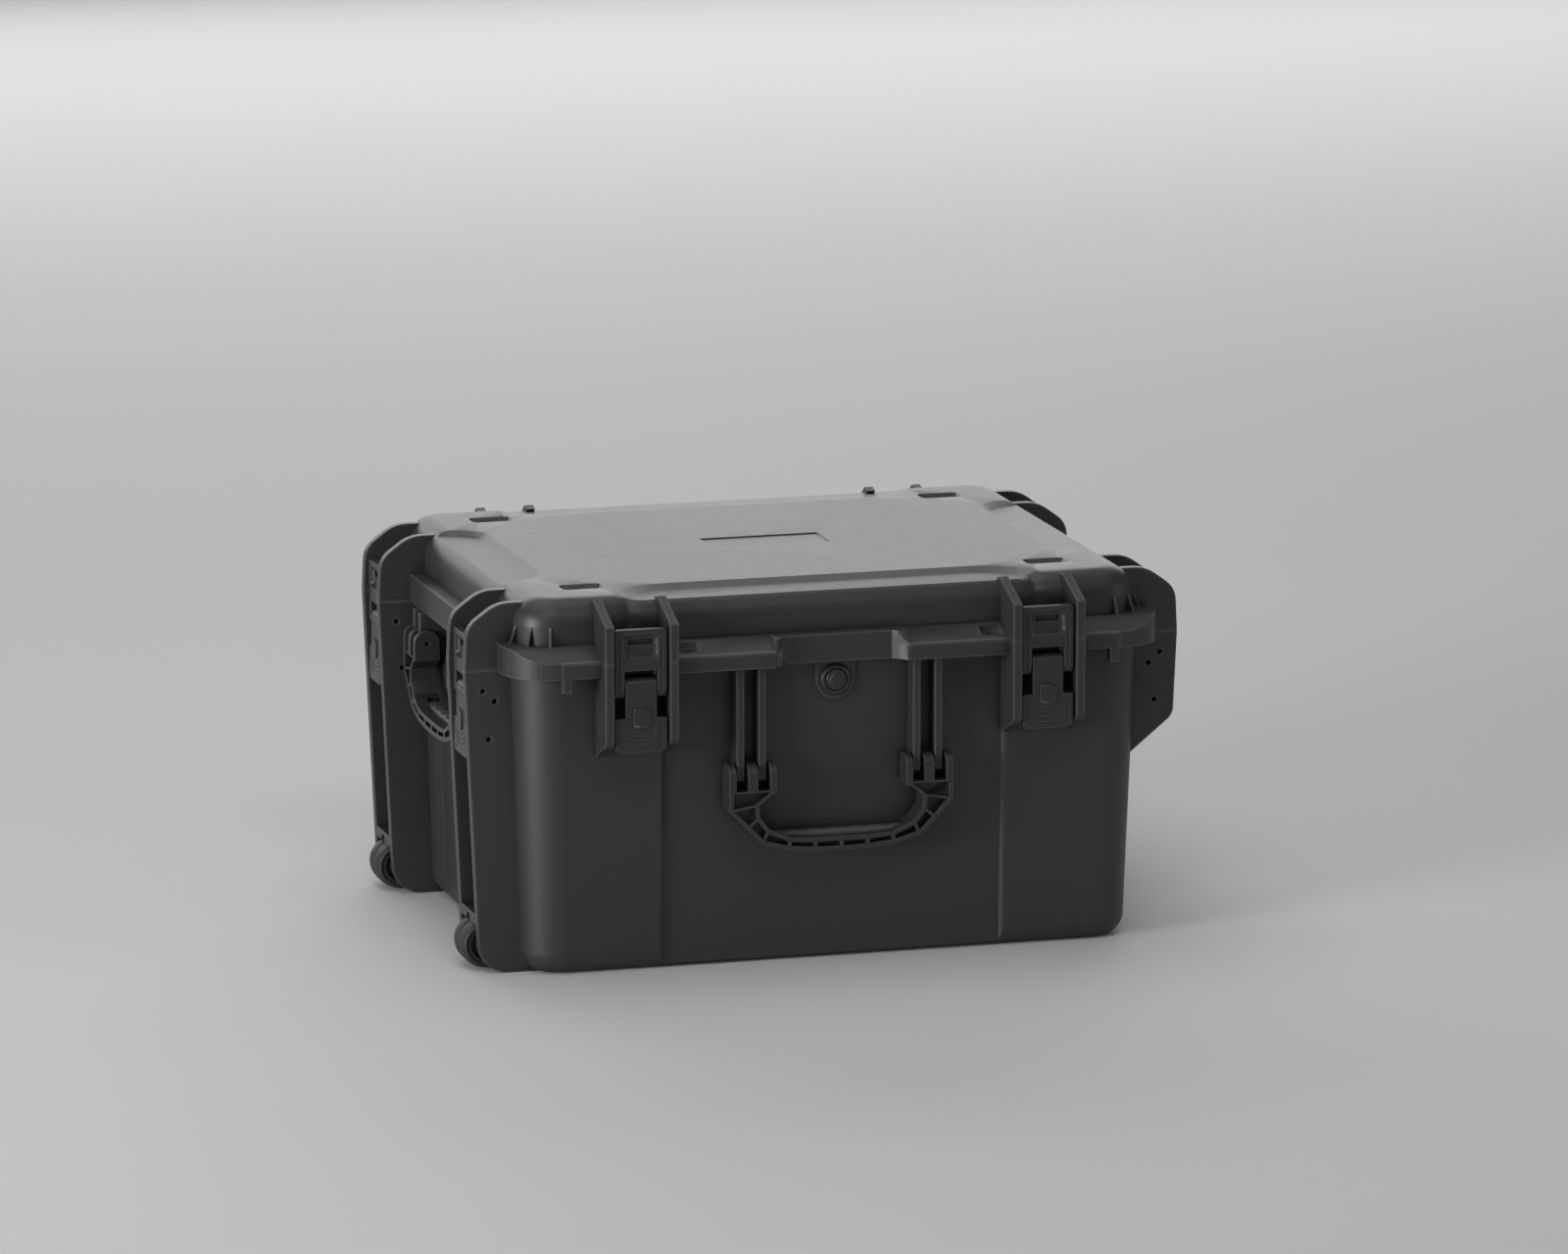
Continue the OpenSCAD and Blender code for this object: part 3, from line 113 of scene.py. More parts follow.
class Value:
    """A socket that carries a number, on which Python's operators add Math nodes."""

    def __init__(self, tree: "Nodes", socket: bpy.types.NodeSocket) -> None:
        """Keeps the tree and the socket."""
        self.tree = tree
        self.socket = socket

    def _math(self, operation: str, *terms: object) -> "Value":
        """Adds a Math node.

        Args:
            operation: the Math node's operation.
            terms: numbers or values, in the node's order.
        Returns:
            The node's result.
        """
        return self.tree.add("ShaderNodeMath", {"operation": operation}, dict(enumerate(terms)))

    def __add__(self, other: object) -> "Value":
        """Sum."""
        return self._math("ADD", self, other)

    def __sub__(self, other: object) -> "Value":
        """Difference."""
        return self._math("SUBTRACT", self, other)

    def __rsub__(self, other: object) -> "Value":
        """Difference from a number on the left."""
        return self._math("SUBTRACT", other, self)

    def __mul__(self, other: object) -> "Value":
        """Product."""
        return self._math("MULTIPLY", self, other)

    def clamped(self, low: float, high: float) -> "Value":
        """Limits the value to a range.

        Args:
            low: the least value.
            high: the greatest value.
        Returns:
            The limited value.
        """
        return self._math("MINIMUM", self._math("MAXIMUM", self, low), high)


class Nodes:
    """A material's node tree, built by one method."""

    def __init__(self, material: bpy.types.Material) -> None:
        """Empties the material's tree and adds the output."""
        material.use_nodes = True
        self.tree = material.node_tree
        self.tree.nodes.clear()
        self.output = self.tree.nodes.new("ShaderNodeOutputMaterial")

    def add(
        self,
        kind: str,
        settings: dict[str, object] | None = None,
        inputs: dict[object, object] | None = None,
        output: object = 0,
    ) -> Value:
        """Adds a node.

        Args:
            kind: the node's type name.
            settings: the node's own settings; "stops" gives a colour ramp's (place, grey) pairs.
            inputs: socket name or number to a number, tuple or value.
            output: the socket that is returned, by name or number.
        Returns:
            The chosen output.
        """
        node = self.tree.nodes.new(kind)
        for key, value in (settings or {}).items():
            if key == "stops":
                ramp = node.color_ramp
                for index, (place, grey) in enumerate(value):
                    stop = ramp.elements[index] if index < 2 else ramp.elements.new(place)
                    stop.position = place
                    stop.color = (grey, grey, grey, 1.0)
            else:
                setattr(node, key, value)
        for key, value in (inputs or {}).items():
            socket = node.inputs[key]
            if isinstance(value, Value):
                self.tree.links.new(value.socket, socket)
            else:
                socket.default_value = value
        return Value(self, node.outputs[output])

    def place(self) -> Value:
        """Object coordinates, in metres in the part's frame."""
        return self.add("ShaderNodeTexCoord", output="Object")

    def noise(self, scale: float, detail: float = 3.0, roughness: float = 0.5) -> Value:
        """Fractal noise over the object.

        Args:
            scale: cells per metre.
            detail: octaves.
            roughness: weight of the finer octaves.
        Returns:
            The noise from 0 to 1.
        """
        inputs = {"Vector": self.place(), "Scale": scale, "Detail": detail, "Roughness": roughness}
        return self.add("ShaderNodeTexNoise", None, inputs, "Fac")

    def cells(self, scale: float, feature: str = "F1") -> Value:
        """Distance pattern of scattered cells.

        Args:
            scale: cells per metre.
            feature: the Voronoi feature.
        Returns:
            The distance.
        """
        inputs = {"Vector": self.place(), "Scale": scale}
        return self.add("ShaderNodeTexVoronoi", {"feature": feature}, inputs, "Distance")

    def blend(self, amount: Value, first: Value | Sequence[float], second: Sequence[float]) -> Value:
        """Mixes two colours.

        Args:
            amount: 0 for the first colour, 1 for the second.
            first: a varying colour or linear RGB.
            second: linear RGB.
        Returns:
            The mixed colour.
        """
        node = self.tree.nodes.new("ShaderNodeMix")
        node.data_type = "RGBA"
        self.tree.links.new(amount.socket, node.inputs[MIX_FACTOR])
        if isinstance(first, Value):
            self.tree.links.new(first.socket, node.inputs[MIX_A])
        else:
            node.inputs[MIX_A].default_value = (*first, 1.0)
        node.inputs[MIX_B].default_value = (*second, 1.0)
        return Value(self, node.outputs[MIX_RESULT])

    def bump(self, height: Value, depth: float, under: Value | None = None) -> Value:
        """A bumped normal.

        Args:
            height: the relief from 0 to 1.
            depth: metres from lowest to highest.
            under: another bumped normal below this one.
        Returns:
            The normal.
        """
        inputs: dict[object, object] = {"Height": height, "Distance": depth, "Strength": 1.0}
        if under is not None:
            inputs["Normal"] = under
        return self.add("ShaderNodeBump", None, inputs, "Normal")

    def rounded(self, radius: float) -> Value:
        """The normal as if the piece's sharp edges were rounded.

        Args:
            radius: the rounding's radius in metres.
        Returns:
            The normal.
        """
        return self.add("ShaderNodeBevel", {"samples": 6}, {"Radius": radius}, "Normal")

    def open_share(self, reach: float, inside: bool) -> Value:
        """How much of the hemisphere nearby is open, which falls at edges.

        Args:
            reach: how far away a surface still counts, in metres.
            inside: looks into the solid, so that outer edges fall; else inner corners fall.
        Returns:
            The open share from 0 to 1.
        """
        settings = {"samples": 4, "inside": inside, "only_local": inside}
        return self.add("ShaderNodeAmbientOcclusion", settings, {"Distance": reach}, "AO")

    def surface(self, **inputs: object) -> None:
        """Ends the tree in a Principled shader.

        Args:
            inputs: socket names with underscores for spaces.
        """
        named = {key.replace("_", " "): value for key, value in inputs.items()}
        shader = self.add("ShaderNodeBsdfPrincipled", None, named, "BSDF")
        self.tree.links.new(shader.socket, self.output.inputs["Surface"])


# finishes


@dataclass(frozen=True)
class MouldedPlastic:
    """Satin moulded plastic: fine grain, faint flow marks, a painted highlight on rounded edges and painted
    shade in nooks.
    """

    name: str
    colour: tuple[float, float, float]
    roughness: float = 0.46
    grain_per_m: float = 1500.0
    grain_deep: float = 0.000015
    edge: float = 0.0013
    # Painted highlight on outer edges: how many times lighter than the base colour they are painted
    painted_highlight_gain: float = 3.5
    # Painted shade in inner corners and recesses: how far it reaches and how dark it is painted
    nook_reach: float = 0.012
    nook_dark: float = 0.25
    cloud_per_m: float = 5.0
    scuff_per_m: float = 95.0
    sink_per_m: float = 16.0
    sink_deep: float = 0.00002
    specular: float = 0.5

    def material(self) -> bpy.types.Material:
        """Builds the node material.

        Returns:
            The material.
        """
        made = bpy.data.materials.new(self.name)
        nodes = Nodes(made)
        cloud = nodes.noise(self.cloud_per_m, 3.0, 0.5)
        scuff = nodes.noise(self.scuff_per_m, 5.0, 0.68)
        grain = nodes.noise(self.grain_per_m, 2.0, 0.55)
        ramp = {"stops": [(0.5, 0.0), (0.8, 1.0)]}
        dust = nodes.add("ShaderNodeValToRGB", ramp, {0: scuff}, "Color")
        dark = tuple(0.9 * c for c in self.colour)
        light = tuple(min(1.0, 1.1 * c + 0.001) for c in self.colour)
        flow = (cloud * 0.75 + grain * 0.25).clamped(0.0, 1.0)
        # Painted highlight: outer edges, found by ambient occlusion looked for inside the solid, are
        # painted lighter
        painted_highlight = tuple(self.painted_highlight_gain * c for c in self.colour)
        edge = ((1.0 - nodes.open_share(self.edge * 1.7, True)) * 1.7 - 0.1).clamped(0.0, 1.0)
        # Painted shade: inner corners and recesses, found by ambient occlusion outside the solid, are
        # painted darker
        nook = ((1.0 - nodes.open_share(self.nook_reach, False)) * 1.5 - 0.25).clamped(0.0, 0.8)
        painted_shade = tuple(self.nook_dark * c for c in self.colour)
        colour = nodes.blend(nook, nodes.blend(edge, nodes.blend(flow, dark, light), painted_highlight), painted_shade)
        sinks = nodes.noise(self.sink_per_m, 2.0, 0.4)
        relief = nodes.bump(sinks, self.sink_deep, nodes.rounded(self.edge))
        nodes.surface(
            Base_Color=colour,
            Roughness=(dust * 0.05 + cloud * 0.03 + (self.roughness - 0.02)).clamped(0.05, 1.0),
            Normal=nodes.bump(grain, self.grain_deep, relief),
            Specular_IOR_Level=self.specular,
        )
        return made


@dataclass(frozen=True)
class CutFoam:
    """Open-cell foam: pores of two sizes, matt, with a faint sheen on its skin."""

    name: str
    colour: tuple[float, float, float]
    pores_per_m: float = 900.0
    small_pores: float = 2.3
    pore_deep: float = 0.0005
    patch_per_m: float = 22.0
    patch_deep: float = 0.0008

    def material(self) -> bpy.types.Material:
        """Builds the node material.

        Returns:
            The material.
        """
        made = bpy.data.materials.new(self.name)
        nodes = Nodes(made)
        pores = nodes.cells(self.pores_per_m)
        small = nodes.cells(self.pores_per_m * self.small_pores)
        patch = nodes.noise(self.patch_per_m, 4.0, 0.6)
        relief = nodes.bump(patch, self.patch_deep)
        open_cell = (pores * 1.3 * small * 1.6).clamped(0.0, 1.0)
        dark = tuple(0.45 * c for c in self.colour)
        light = tuple(1.5 * c for c in self.colour)
        colour = nodes.blend((open_cell * 0.6 + patch * 0.4).clamped(0.0, 1.0), dark, light)
        nodes.surface(
            Base_Color=colour,
            Roughness=(patch * 0.08 + 0.88).clamped(0.0, 1.0),
            Normal=nodes.bump(pores + small * 0.5, self.pore_deep, relief),
            Specular_IOR_Level=0.25,
            Sheen_Weight=0.25,
            Sheen_Roughness=0.6,
        )
        return made


@dataclass(frozen=True)
class SoftRubber:
    """Matt rubber with a fine pebble and scuffs that roughen it."""

    name: str
    colour: tuple[float, float, float]
    roughness: float = 0.6
    pebble_per_m: float = 1100.0
    pebble_deep: float = 0.00008
    scuff_per_m: float = 60.0

    def material(self) -> bpy.types.Material:
        """Builds the node material.

        Returns:
            The material.
        """
        made = bpy.data.materials.new(self.name)
        nodes = Nodes(made)
        pebble = nodes.cells(self.pebble_per_m, "SMOOTH_F1")
        scuff = nodes.noise(self.scuff_per_m, 5.0, 0.7)
        dark = tuple(0.8 * c for c in self.colour)
        light = tuple(1.35 * c + 0.002 for c in self.colour)
        nodes.surface(
            Base_Color=nodes.blend(scuff, dark, light),
            Roughness=(scuff * 0.16 + (self.roughness - 0.08)).clamped(0.05, 1.0),
            Normal=nodes.bump(pebble, self.pebble_deep),
            Specular_IOR_Level=0.4,
        )
        return made


@dataclass(frozen=True)
class TurnedSteel:
    """Dark steel pin with fine marks from turning and a few darker spots."""

    name: str
    colour: tuple[float, float, float]
    roughness: float = 0.34
    streak_per_m: float = 420.0
    streak_deep: float = 0.00003
    spot_per_m: float = 130.0
    edge: float = 0.0003

    def material(self) -> bpy.types.Material:
        """Builds the node material.

        Returns:
            The material.
        """
        made = bpy.data.materials.new(self.name)
        nodes = Nodes(made)
        streak = nodes.noise(self.streak_per_m, 4.0, 0.7)
        spot = nodes.noise(self.spot_per_m, 3.0, 0.6)
        dark = tuple(0.7 * c for c in self.colour)
        nodes.surface(
            Base_Color=nodes.blend(spot, dark, self.colour),
            Metallic=1.0,
            Roughness=(streak * 0.16 + spot * 0.1 + (self.roughness - 0.12)).clamped(0.05, 1.0),
            Normal=nodes.bump(streak, self.streak_deep, nodes.rounded(self.edge)),
        )
        return made


@dataclass
class Finishes:
    """The finish of each material slot."""

    shell: MouldedPlastic = MouldedPlastic("shell_satin", (0.0235, 0.0242, 0.0253), 0.46)
    trim: MouldedPlastic = MouldedPlastic(
        "trim_satin", (0.019, 0.0196, 0.0207), 0.42, grain_per_m=1900.0, grain_deep=0.000012, edge=0.0008
    )
    grip: SoftRubber = SoftRubber("grip_rubber", (0.06, 0.0612, 0.063), 0.5)
    foam: CutFoam = CutFoam("lining_foam", (0.016, 0.0165, 0.0175))
    seal: SoftRubber = SoftRubber("seal_rubber", (0.012, 0.012, 0.0125), 0.5, 1500.0, 0.00003)
    tyre: SoftRubber = SoftRubber("tyre_rubber", (0.02, 0.0203, 0.021), 0.62)
    pin: TurnedSteel = TurnedSteel("pin_steel", (0.022, 0.0224, 0.0235), 0.5)
    made: dict[Slot, bpy.types.Material] = field(default_factory=dict)

    def get(self, slot: Slot) -> bpy.types.Material:
        """The material of a slot, built once.

        Args:
            slot: the record's slot.
        Returns:
            The material.
        """
        if slot not in self.made:
            self.made[slot] = getattr(self, slot.value).material()
        return self.made[slot]


# mesh kit


def grid_faces(rows: int, cols: int, wrap_rows: bool = False, wrap_cols: bool = False) -> Array:
    """Quads of a grid of points in row order.

    Args:
        rows: number of rows.
        cols: number of columns.
        wrap_rows: joins the last row to the first.
        wrap_cols: joins the last column to the first.
    Returns:
        Index quads: each takes a point, its neighbour in the row, the one above that, and the one above.
    """
    i = np.arange(rows if wrap_rows else rows - 1)
    j = np.arange(cols if wrap_cols else cols - 1)
    a, b = np.meshgrid(i, j, indexing="ij")
    up, right = (a + 1) % rows, (b + 1) % cols
    return np.stack([a * cols + b, a * cols + right, up * cols + right, up * cols + b], -1).reshape(-1, 4)


def ticks(low: float, high: float, radius: float, steps: int, arc: int = 4) -> Array:
    """Grid lines along one edge of a rounded box.

    The ends take radius times the tangent of even angles up to 45 degrees, which gives the rounding even
    steps.

    Args:
        low: the edge's start.
        high: the edge's end.
        radius: the rounding's radius.
        steps: lines between the two roundings.
        arc: steps in half a rounding.
    Returns:
        The lines in order.
    """
    bend = radius * (1.0 - np.tan(np.linspace(math.pi / 4, 0.0, arc + 1)))
    middle = np.linspace(low + radius, high - radius, steps + 2)[1:-1]
    return np.concatenate([low + bend, middle, (high - bend)[::-1]])


def rounded_box(
    low: Array, high: Array, radius: float, steps: Sequence[int]
) -> tuple[Array, list[list[int]]]:
    """A box with round edges and corners.

    Each point q on a face is paired with c, the nearest point of the inner box that is smaller by the
    radius, and lands at c plus the radius along q - c.

    Args:
        low: lowest corner.
        high: highest corner.
        radius: radius of the edges.
        steps: grid lines between the roundings along X, Y and Z.
    Returns:
        The points and the quads.
    """
    low, high = np.asarray(low, float), np.asarray(high, float)
    lines = [ticks(low[k], high[k], radius, steps[k]) for k in range(3)]
    points: list[Array] = []
    faces: list[list[int]] = []
    count = 0
    for axis in range(3):
        first, second = [k for k in range(3) if k != axis]
        for level in (low[axis], high[axis]):
            a, b = np.meshgrid(lines[first], lines[second], indexing="ij")
            q = np.empty(a.shape + (3,))
            q[..., axis], q[..., first], q[..., second] = level, a, b
            points.append(q.reshape(-1, 3))
            faces += (grid_faces(*a.shape) + count).tolist()
            count += a.size
    q = np.concatenate(points)
    c = np.clip(q, low + radius, high - radius)
    away = q - c
    return c + radius * away / np.linalg.norm(away, axis=1, keepdims=True), faces


def lathe(
    profile: Array, segments: int, wave: Callable[[Array, Array], Array] | None = None
) -> tuple[Array, Array]:
    """A turned solid about the local third axis.

    The point at profile station i and angle t is (r cos t, r sin t, h), with r and h from the profile and r
    changed by the wave if one is given.

    Args:
        profile: rows of radius and height, from pole to pole.
        segments: steps round the axis.
        wave: takes the grids of station and angle and returns what is added to the radius.
    Returns:
        The points and the quads.
    """
    angle = np.linspace(0.0, 2 * math.pi, segments, endpoint=False)
    station, turn = np.meshgrid(np.arange(len(profile)), angle, indexing="ij")
    radius = np.repeat(profile[:, :1], segments, 1)
    height = np.repeat(profile[:, 1:], segments, 1)
    if wave is not None:
        radius = radius + wave(station, turn)
    points = np.stack([radius * np.cos(turn), radius * np.sin(turn), height], -1).reshape(-1, 3)
    return points, grid_faces(len(profile), segments, wrap_cols=True)


def rounded_profile(corners: Sequence[tuple[float, float, float]], steps: int = 4) -> Array:
    """A line through corners, each rounded by its own radius with a quadratic curve.

    Args:
        corners: (first, second, radius) of each corner; the ends keep their place.
        steps: steps in each rounding.
    Returns:
        The points of the line.
    """
    spots = np.array([c[:2] for c in corners], float)
    made = [spots[0]]
    for k in range(1, len(corners) - 1):
        reach = corners[k][2]
        before, after = spots[k - 1] - spots[k], spots[k + 1] - spots[k]
        start = spots[k] + before * min(0.5, reach / max(np.linalg.norm(before), 1e-9))
        end = spots[k] + after * min(0.5, reach / max(np.linalg.norm(after), 1e-9))
        t = np.linspace(0.0, 1.0, steps + 1)[:, None]
        made += list((1 - t) ** 2 * start + 2 * t * (1 - t) * spots[k] + t**2 * end)
    made.append(spots[-1])
    return np.array(made)


@dataclass(frozen=True)
class Seat:
    """The box of a CAD node as seen from its wall: u across, d into the case, z up."""

    centre: Array
    half: Array
    side: Side

    @staticmethod
    def of(node: str, side: Side) -> "Seat":
        """Reads the seat from a CAD node.

        Args:
            node: the node's name.
            side: the wall it sits on.
        Returns:
            The seat.
        """
        low, high = (np.array(corner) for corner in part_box(node))
        half = (high - low) / 2
        if side is not Side.FRONT:
            half = half[[1, 0, 2]]
        return Seat((low + high) / 2, half, side)

    def place(self, u: Array, d: Array, z: Array) -> Array:
        """Turns local offsets from the seat's centre into places in the part's frame.

        Args:
            u: offset across.
            d: offset into the case.
            z: offset upwards.
        Returns:
            Points, one a row.
        """
        turn = math.radians(self.side.value)
        x = u * math.cos(turn) - d * math.sin(turn)
        y = u * math.sin(turn) + d * math.cos(turn)
        return np.stack([x, y, z + 0 * x], -1).reshape(-1, 3) + self.centre


@dataclass
class Workshop:
    """Makes pieces, dresses them and hangs them on the part's bodies."""

    finishes: Finishes
    frame: dict
    count: int = 0

    def clean_object(self, source: bpy.types.Mesh, mesh: bpy.types.Mesh, merge: float) -> bpy.types.Object:
        """Merges a mesh's doubles, turns its faces outwards and puts it in the scene.

        Args:
            source: the mesh as it is.
            mesh: where the clean mesh goes; its name becomes the object's.
            merge: points nearer than this become one.
        Returns:
            The object at the origin.
        """
        work = bmesh.new()
        work.from_mesh(source)
        bmesh.ops.remove_doubles(work, verts=work.verts, dist=merge)
        bmesh.ops.dissolve_degenerate(work, dist=SLIVER, edges=work.edges)
        bmesh.ops.recalc_face_normals(work, faces=work.faces)
        work.to_mesh(mesh)
        work.free()
        made = bpy.data.objects.new(mesh.name, mesh)
        bpy.context.scene.collection.objects.link(made)
        return made

    def mesh_object(self, name: str, points: Array, faces: Array | list) -> bpy.types.Object:
        """Puts arrays into a mesh object.

        Args:
            name: the piece's name.
            points: n by 3 places in metres.
            faces: quads or triangles of indices.
        Returns:
            The object at the origin.
        """
        mesh = bpy.data.meshes.new(name)
        rows = faces.tolist() if isinstance(faces, np.ndarray) else faces
        mesh.from_pydata(points.reshape(-1, 3).tolist(), [], rows)
        return self.clean_object(mesh, mesh, MERGE_MADE)

    def finish_piece(
        self,
        piece: bpy.types.Object,
        body: str,
        slot: Slot,
        node: str,
        sharp: float,
    ) -> bpy.types.Object:
        """Dresses a piece and hangs it on its body.

        Args:
            piece: the object.
            body: the body it rides on.
            slot: the material slot it takes its finish from.
            node: the CAD node that it stands for.
            sharp: edges above this angle, in degrees, stay sharp.
        Returns:
            The object.
        """
        mesh = piece.data
        mesh.materials.clear()
        mesh.materials.append(self.finishes.get(slot))
        mesh.shade_smooth()
        mesh.set_sharp_from_angle(angle=math.radians(sharp))
        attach(piece, body)
        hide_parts(node)
        self.count += 1
        LOG.info("%s on %s", piece.name, body)
        return piece

    def mould(self, name: str, node: str, body: str, slot: Slot) -> bpy.types.Object:
        """A CAD node's cleaned copy in its finish, whose edges the finish rounds.

        Args:
            name: the piece's name.
            node: the CAD node it copies and replaces.
            body: the body it rides on.
            slot: the material slot.
        Returns:
            The object.
        """
        source = self.frame["nodes"][node].data
        copy = self.clean_object(source, bpy.data.meshes.new(name), MERGE_CAD)
        piece = self.finish_piece(copy, body, slot, node, CAD_SHARP)
        weighting = piece.modifiers.new("flat_faces_flat", "WEIGHTED_NORMAL")
        weighting.mode = "FACE_AREA"
        weighting.weight = 100
        weighting.keep_sharp = True
        return piece


# sub-assemblies


@dataclass
class Shells:
    """Base and lid with their moulded fins and ears."""

    shop: Workshop
    shared: Sequence[str] = ("rim", "left_guards", "right_guards", "latch_ears", "hinge_ears")

    def build(self) -> None:
        """Builds every moulded piece of the two shells."""
        names = [("base", f"base_{part}") for part in ("tub", *self.shared)]
        names.append(("base", "handle_ribs"))
        names += [("lid", f"lid_{part}") for part in ("shell", *self.shared, "catches")]
        for body, name in names:
            self.shop.mould(f"{name}_moulding", name, body, Slot.SHELL)


@dataclass
class Latch:
    """One draw latch: lever, link, button and link pin."""

    shop: Workshop
    site: str

    def build(self) -> None:
        """Builds the latch's pieces."""
        lever = f"{self.site}_lever"
        self.shop.mould(f"{lever}_plate", lever, lever, Slot.TRIM)
        self.shop.mould(f"{self.site}_link_plate", f"{self.site}_link", f"{self.site}_link", Slot.TRIM)
        self.shop.mould(f"{self.site}_button_cap", f"{self.site}_button", f"{self.site}_button", Slot.TRIM)
        self.shop.mould(f"{self.site}_link_axle", f"{self.site}_link_pin", lever, Slot.PIN)


@dataclass
class Handle:
    """One drop handle: a bow with two rims and webs, and a soft grip with finger waves."""

    shop: Workshop
    name: str
    side: Side
    finger_pitch: float = 21.0 * MM
    finger_deep: float = 1.5 * MM
    squareness: float = 5.0
    end_round: float = 4.0 * MM
    end_share: float = 0.25
    skin: float = 0.1 * MM
    stations: int = 161
    around: int = 48

    def grip(self) -> None:
        """Builds the grip.

        A section swept across: at offset u the outline is a superellipse, |d/a|^n + |z/b|^n = 1, whose
        upper side dips by a cosine of u with the finger pitch, and which shrinks to its ends on a quarter
        round.
        """
        body = f"{self.name}_handle"
        seat = Seat.of(f"{body}_grip", self.side)
        half_u, half_d, half_z = seat.half
        across = half_u * np.sin(np.linspace(-math.pi / 2, math.pi / 2, self.stations))
        turn = np.linspace(0.0, 2 * math.pi, self.around, endpoint=False)
        u, t = np.meshgrid(across, turn, indexing="ij")
        power = 2.0 / self.squareness
        inwards = np.clip((half_u - np.abs(u)) / self.end_round, 0.0, 1.0)
        shrink = self.end_share + (1 - self.end_share) * np.sqrt(1 - (1 - inwards) ** 2)
        d = (half_d - self.skin) * np.sign(np.cos(t)) * np.abs(np.cos(t)) ** power * shrink
        z = (half_z - 2 * self.skin) * np.sign(np.sin(t)) * np.abs(np.sin(t)) ** power * shrink
        finger = 0.5 + 0.5 * np.cos(2 * math.pi * u / self.finger_pitch)
        upper = np.clip(np.sin(t) * 1.3 + np.cos(t) * 0.5, 0.0, 1.0)
        z = z - self.finger_deep * (1 - finger) * upper
        points = seat.place(u, d, z)
        rows, cols = u.shape
        faces = grid_faces(rows, cols, wrap_cols=True).tolist()
        faces.append(list(range(cols)))
        faces.append([(rows - 1) * cols + k for k in range(cols)])
        piece = self.shop.mesh_object(f"{body}_hand_grip", points, faces)
        self.shop.finish_piece(piece, body, Slot.GRIP, f"{body}_grip", sharp=50.0)

    def build(self) -> None:
        """Builds the handle's pieces."""
        body = f"{self.name}_handle"
        self.shop.mould(f"{body}_bow", f"{body}_frame", body, Slot.TRIM)
        self.grip()


@dataclass
class Wheel:
    """One wheel: a dished hub and a crowned tyre with a groove."""

    shop: Workshop
    name: str
    bore: float = 4.05 * MM
    boss_wall: float = 3.4 * MM
    rim_wall: float = 3.0 * MM
    dish_deep: float = 4.0 * MM
    play: float = 0.02 * MM
    crown: float = 1.2 * MM
    groove_half: float = 3.2 * MM
    groove_deep: float = 2.6 * MM
    segments: int = 96

    def turned(self, name: str, node: str, slot: Slot, profile: Array) -> None:
        """Turns a profile about the wheel's axle.

        Args:
            name: the piece's name.
            node: the CAD node it replaces.
            slot: its material slot.
            profile: rows of radius and place along the axle.
        """
        body = f"{self.name}_wheel"
        low, high = (np.array(corner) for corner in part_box(node))
        local, faces = lathe(profile, self.segments)
        wrap = grid_faces(2, self.segments, wrap_cols=True)
        last = (len(profile) - 1) * self.segments
        closing = np.where(wrap >= self.segments, wrap - self.segments, wrap + last)
        points = local[:, [0, 2, 1]] * np.array([1.0, -1.0, 1.0]) + (low + high) / 2
        piece = self.shop.mesh_object(name, points, np.concatenate([faces, closing]))
        self.shop.finish_piece(piece, body, slot, node, sharp=40.0)

    def build(self) -> None:
        """Builds hub and tyre from the sizes of their CAD nodes."""
        body = f"{self.name}_wheel"
        low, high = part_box(f"{body}_hub")
        r, w = (high.x - low.x) / 2 - self.play, (high.y - low.y) / 2
        boss, rim, dish = self.bore + self.boss_wall, r - self.rim_wall, w - self.dish_deep
        side = [(self.bore, w, 0.0), (boss, w, 0.6 * MM), (boss + 0.8 * MM, dish, 1.0 * MM)]
        side += [(rim - 0.8 * MM, dish, 1.0 * MM), (rim, w, 0.6 * MM), (r, w, 0.8 * MM)]
        outer = side + [(a, -b, c) for a, b, c in reversed(side)]
        self.turned(f"{body}_core", f"{body}_hub", Slot.TRIM, rounded_profile(outer))
        low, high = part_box(f"{body}_tyre")
        big, half = (high.x - low.x) / 2, (high.y - low.y) / 2
        inner, groove = r + self.play, self.groove_half
        flank = [(inner, half - 2 * MM, 0.0), (big - 4 * MM, half, 2 * MM)]
        flank += [(big - self.crown, half - 2.4 * MM, 3 * MM), (big, half * 0.55, 6 * MM)]
        flank += [(big, groove, 0.8 * MM), (big - self.groove_deep, groove - 1.2 * MM, 0.8 * MM)]
        tread = flank + [(a, -b, c) for a, b, c in reversed(flank)]
        self.turned(f"{body}_tread", f"{body}_tyre", Slot.TYRE, rounded_profile(tread))


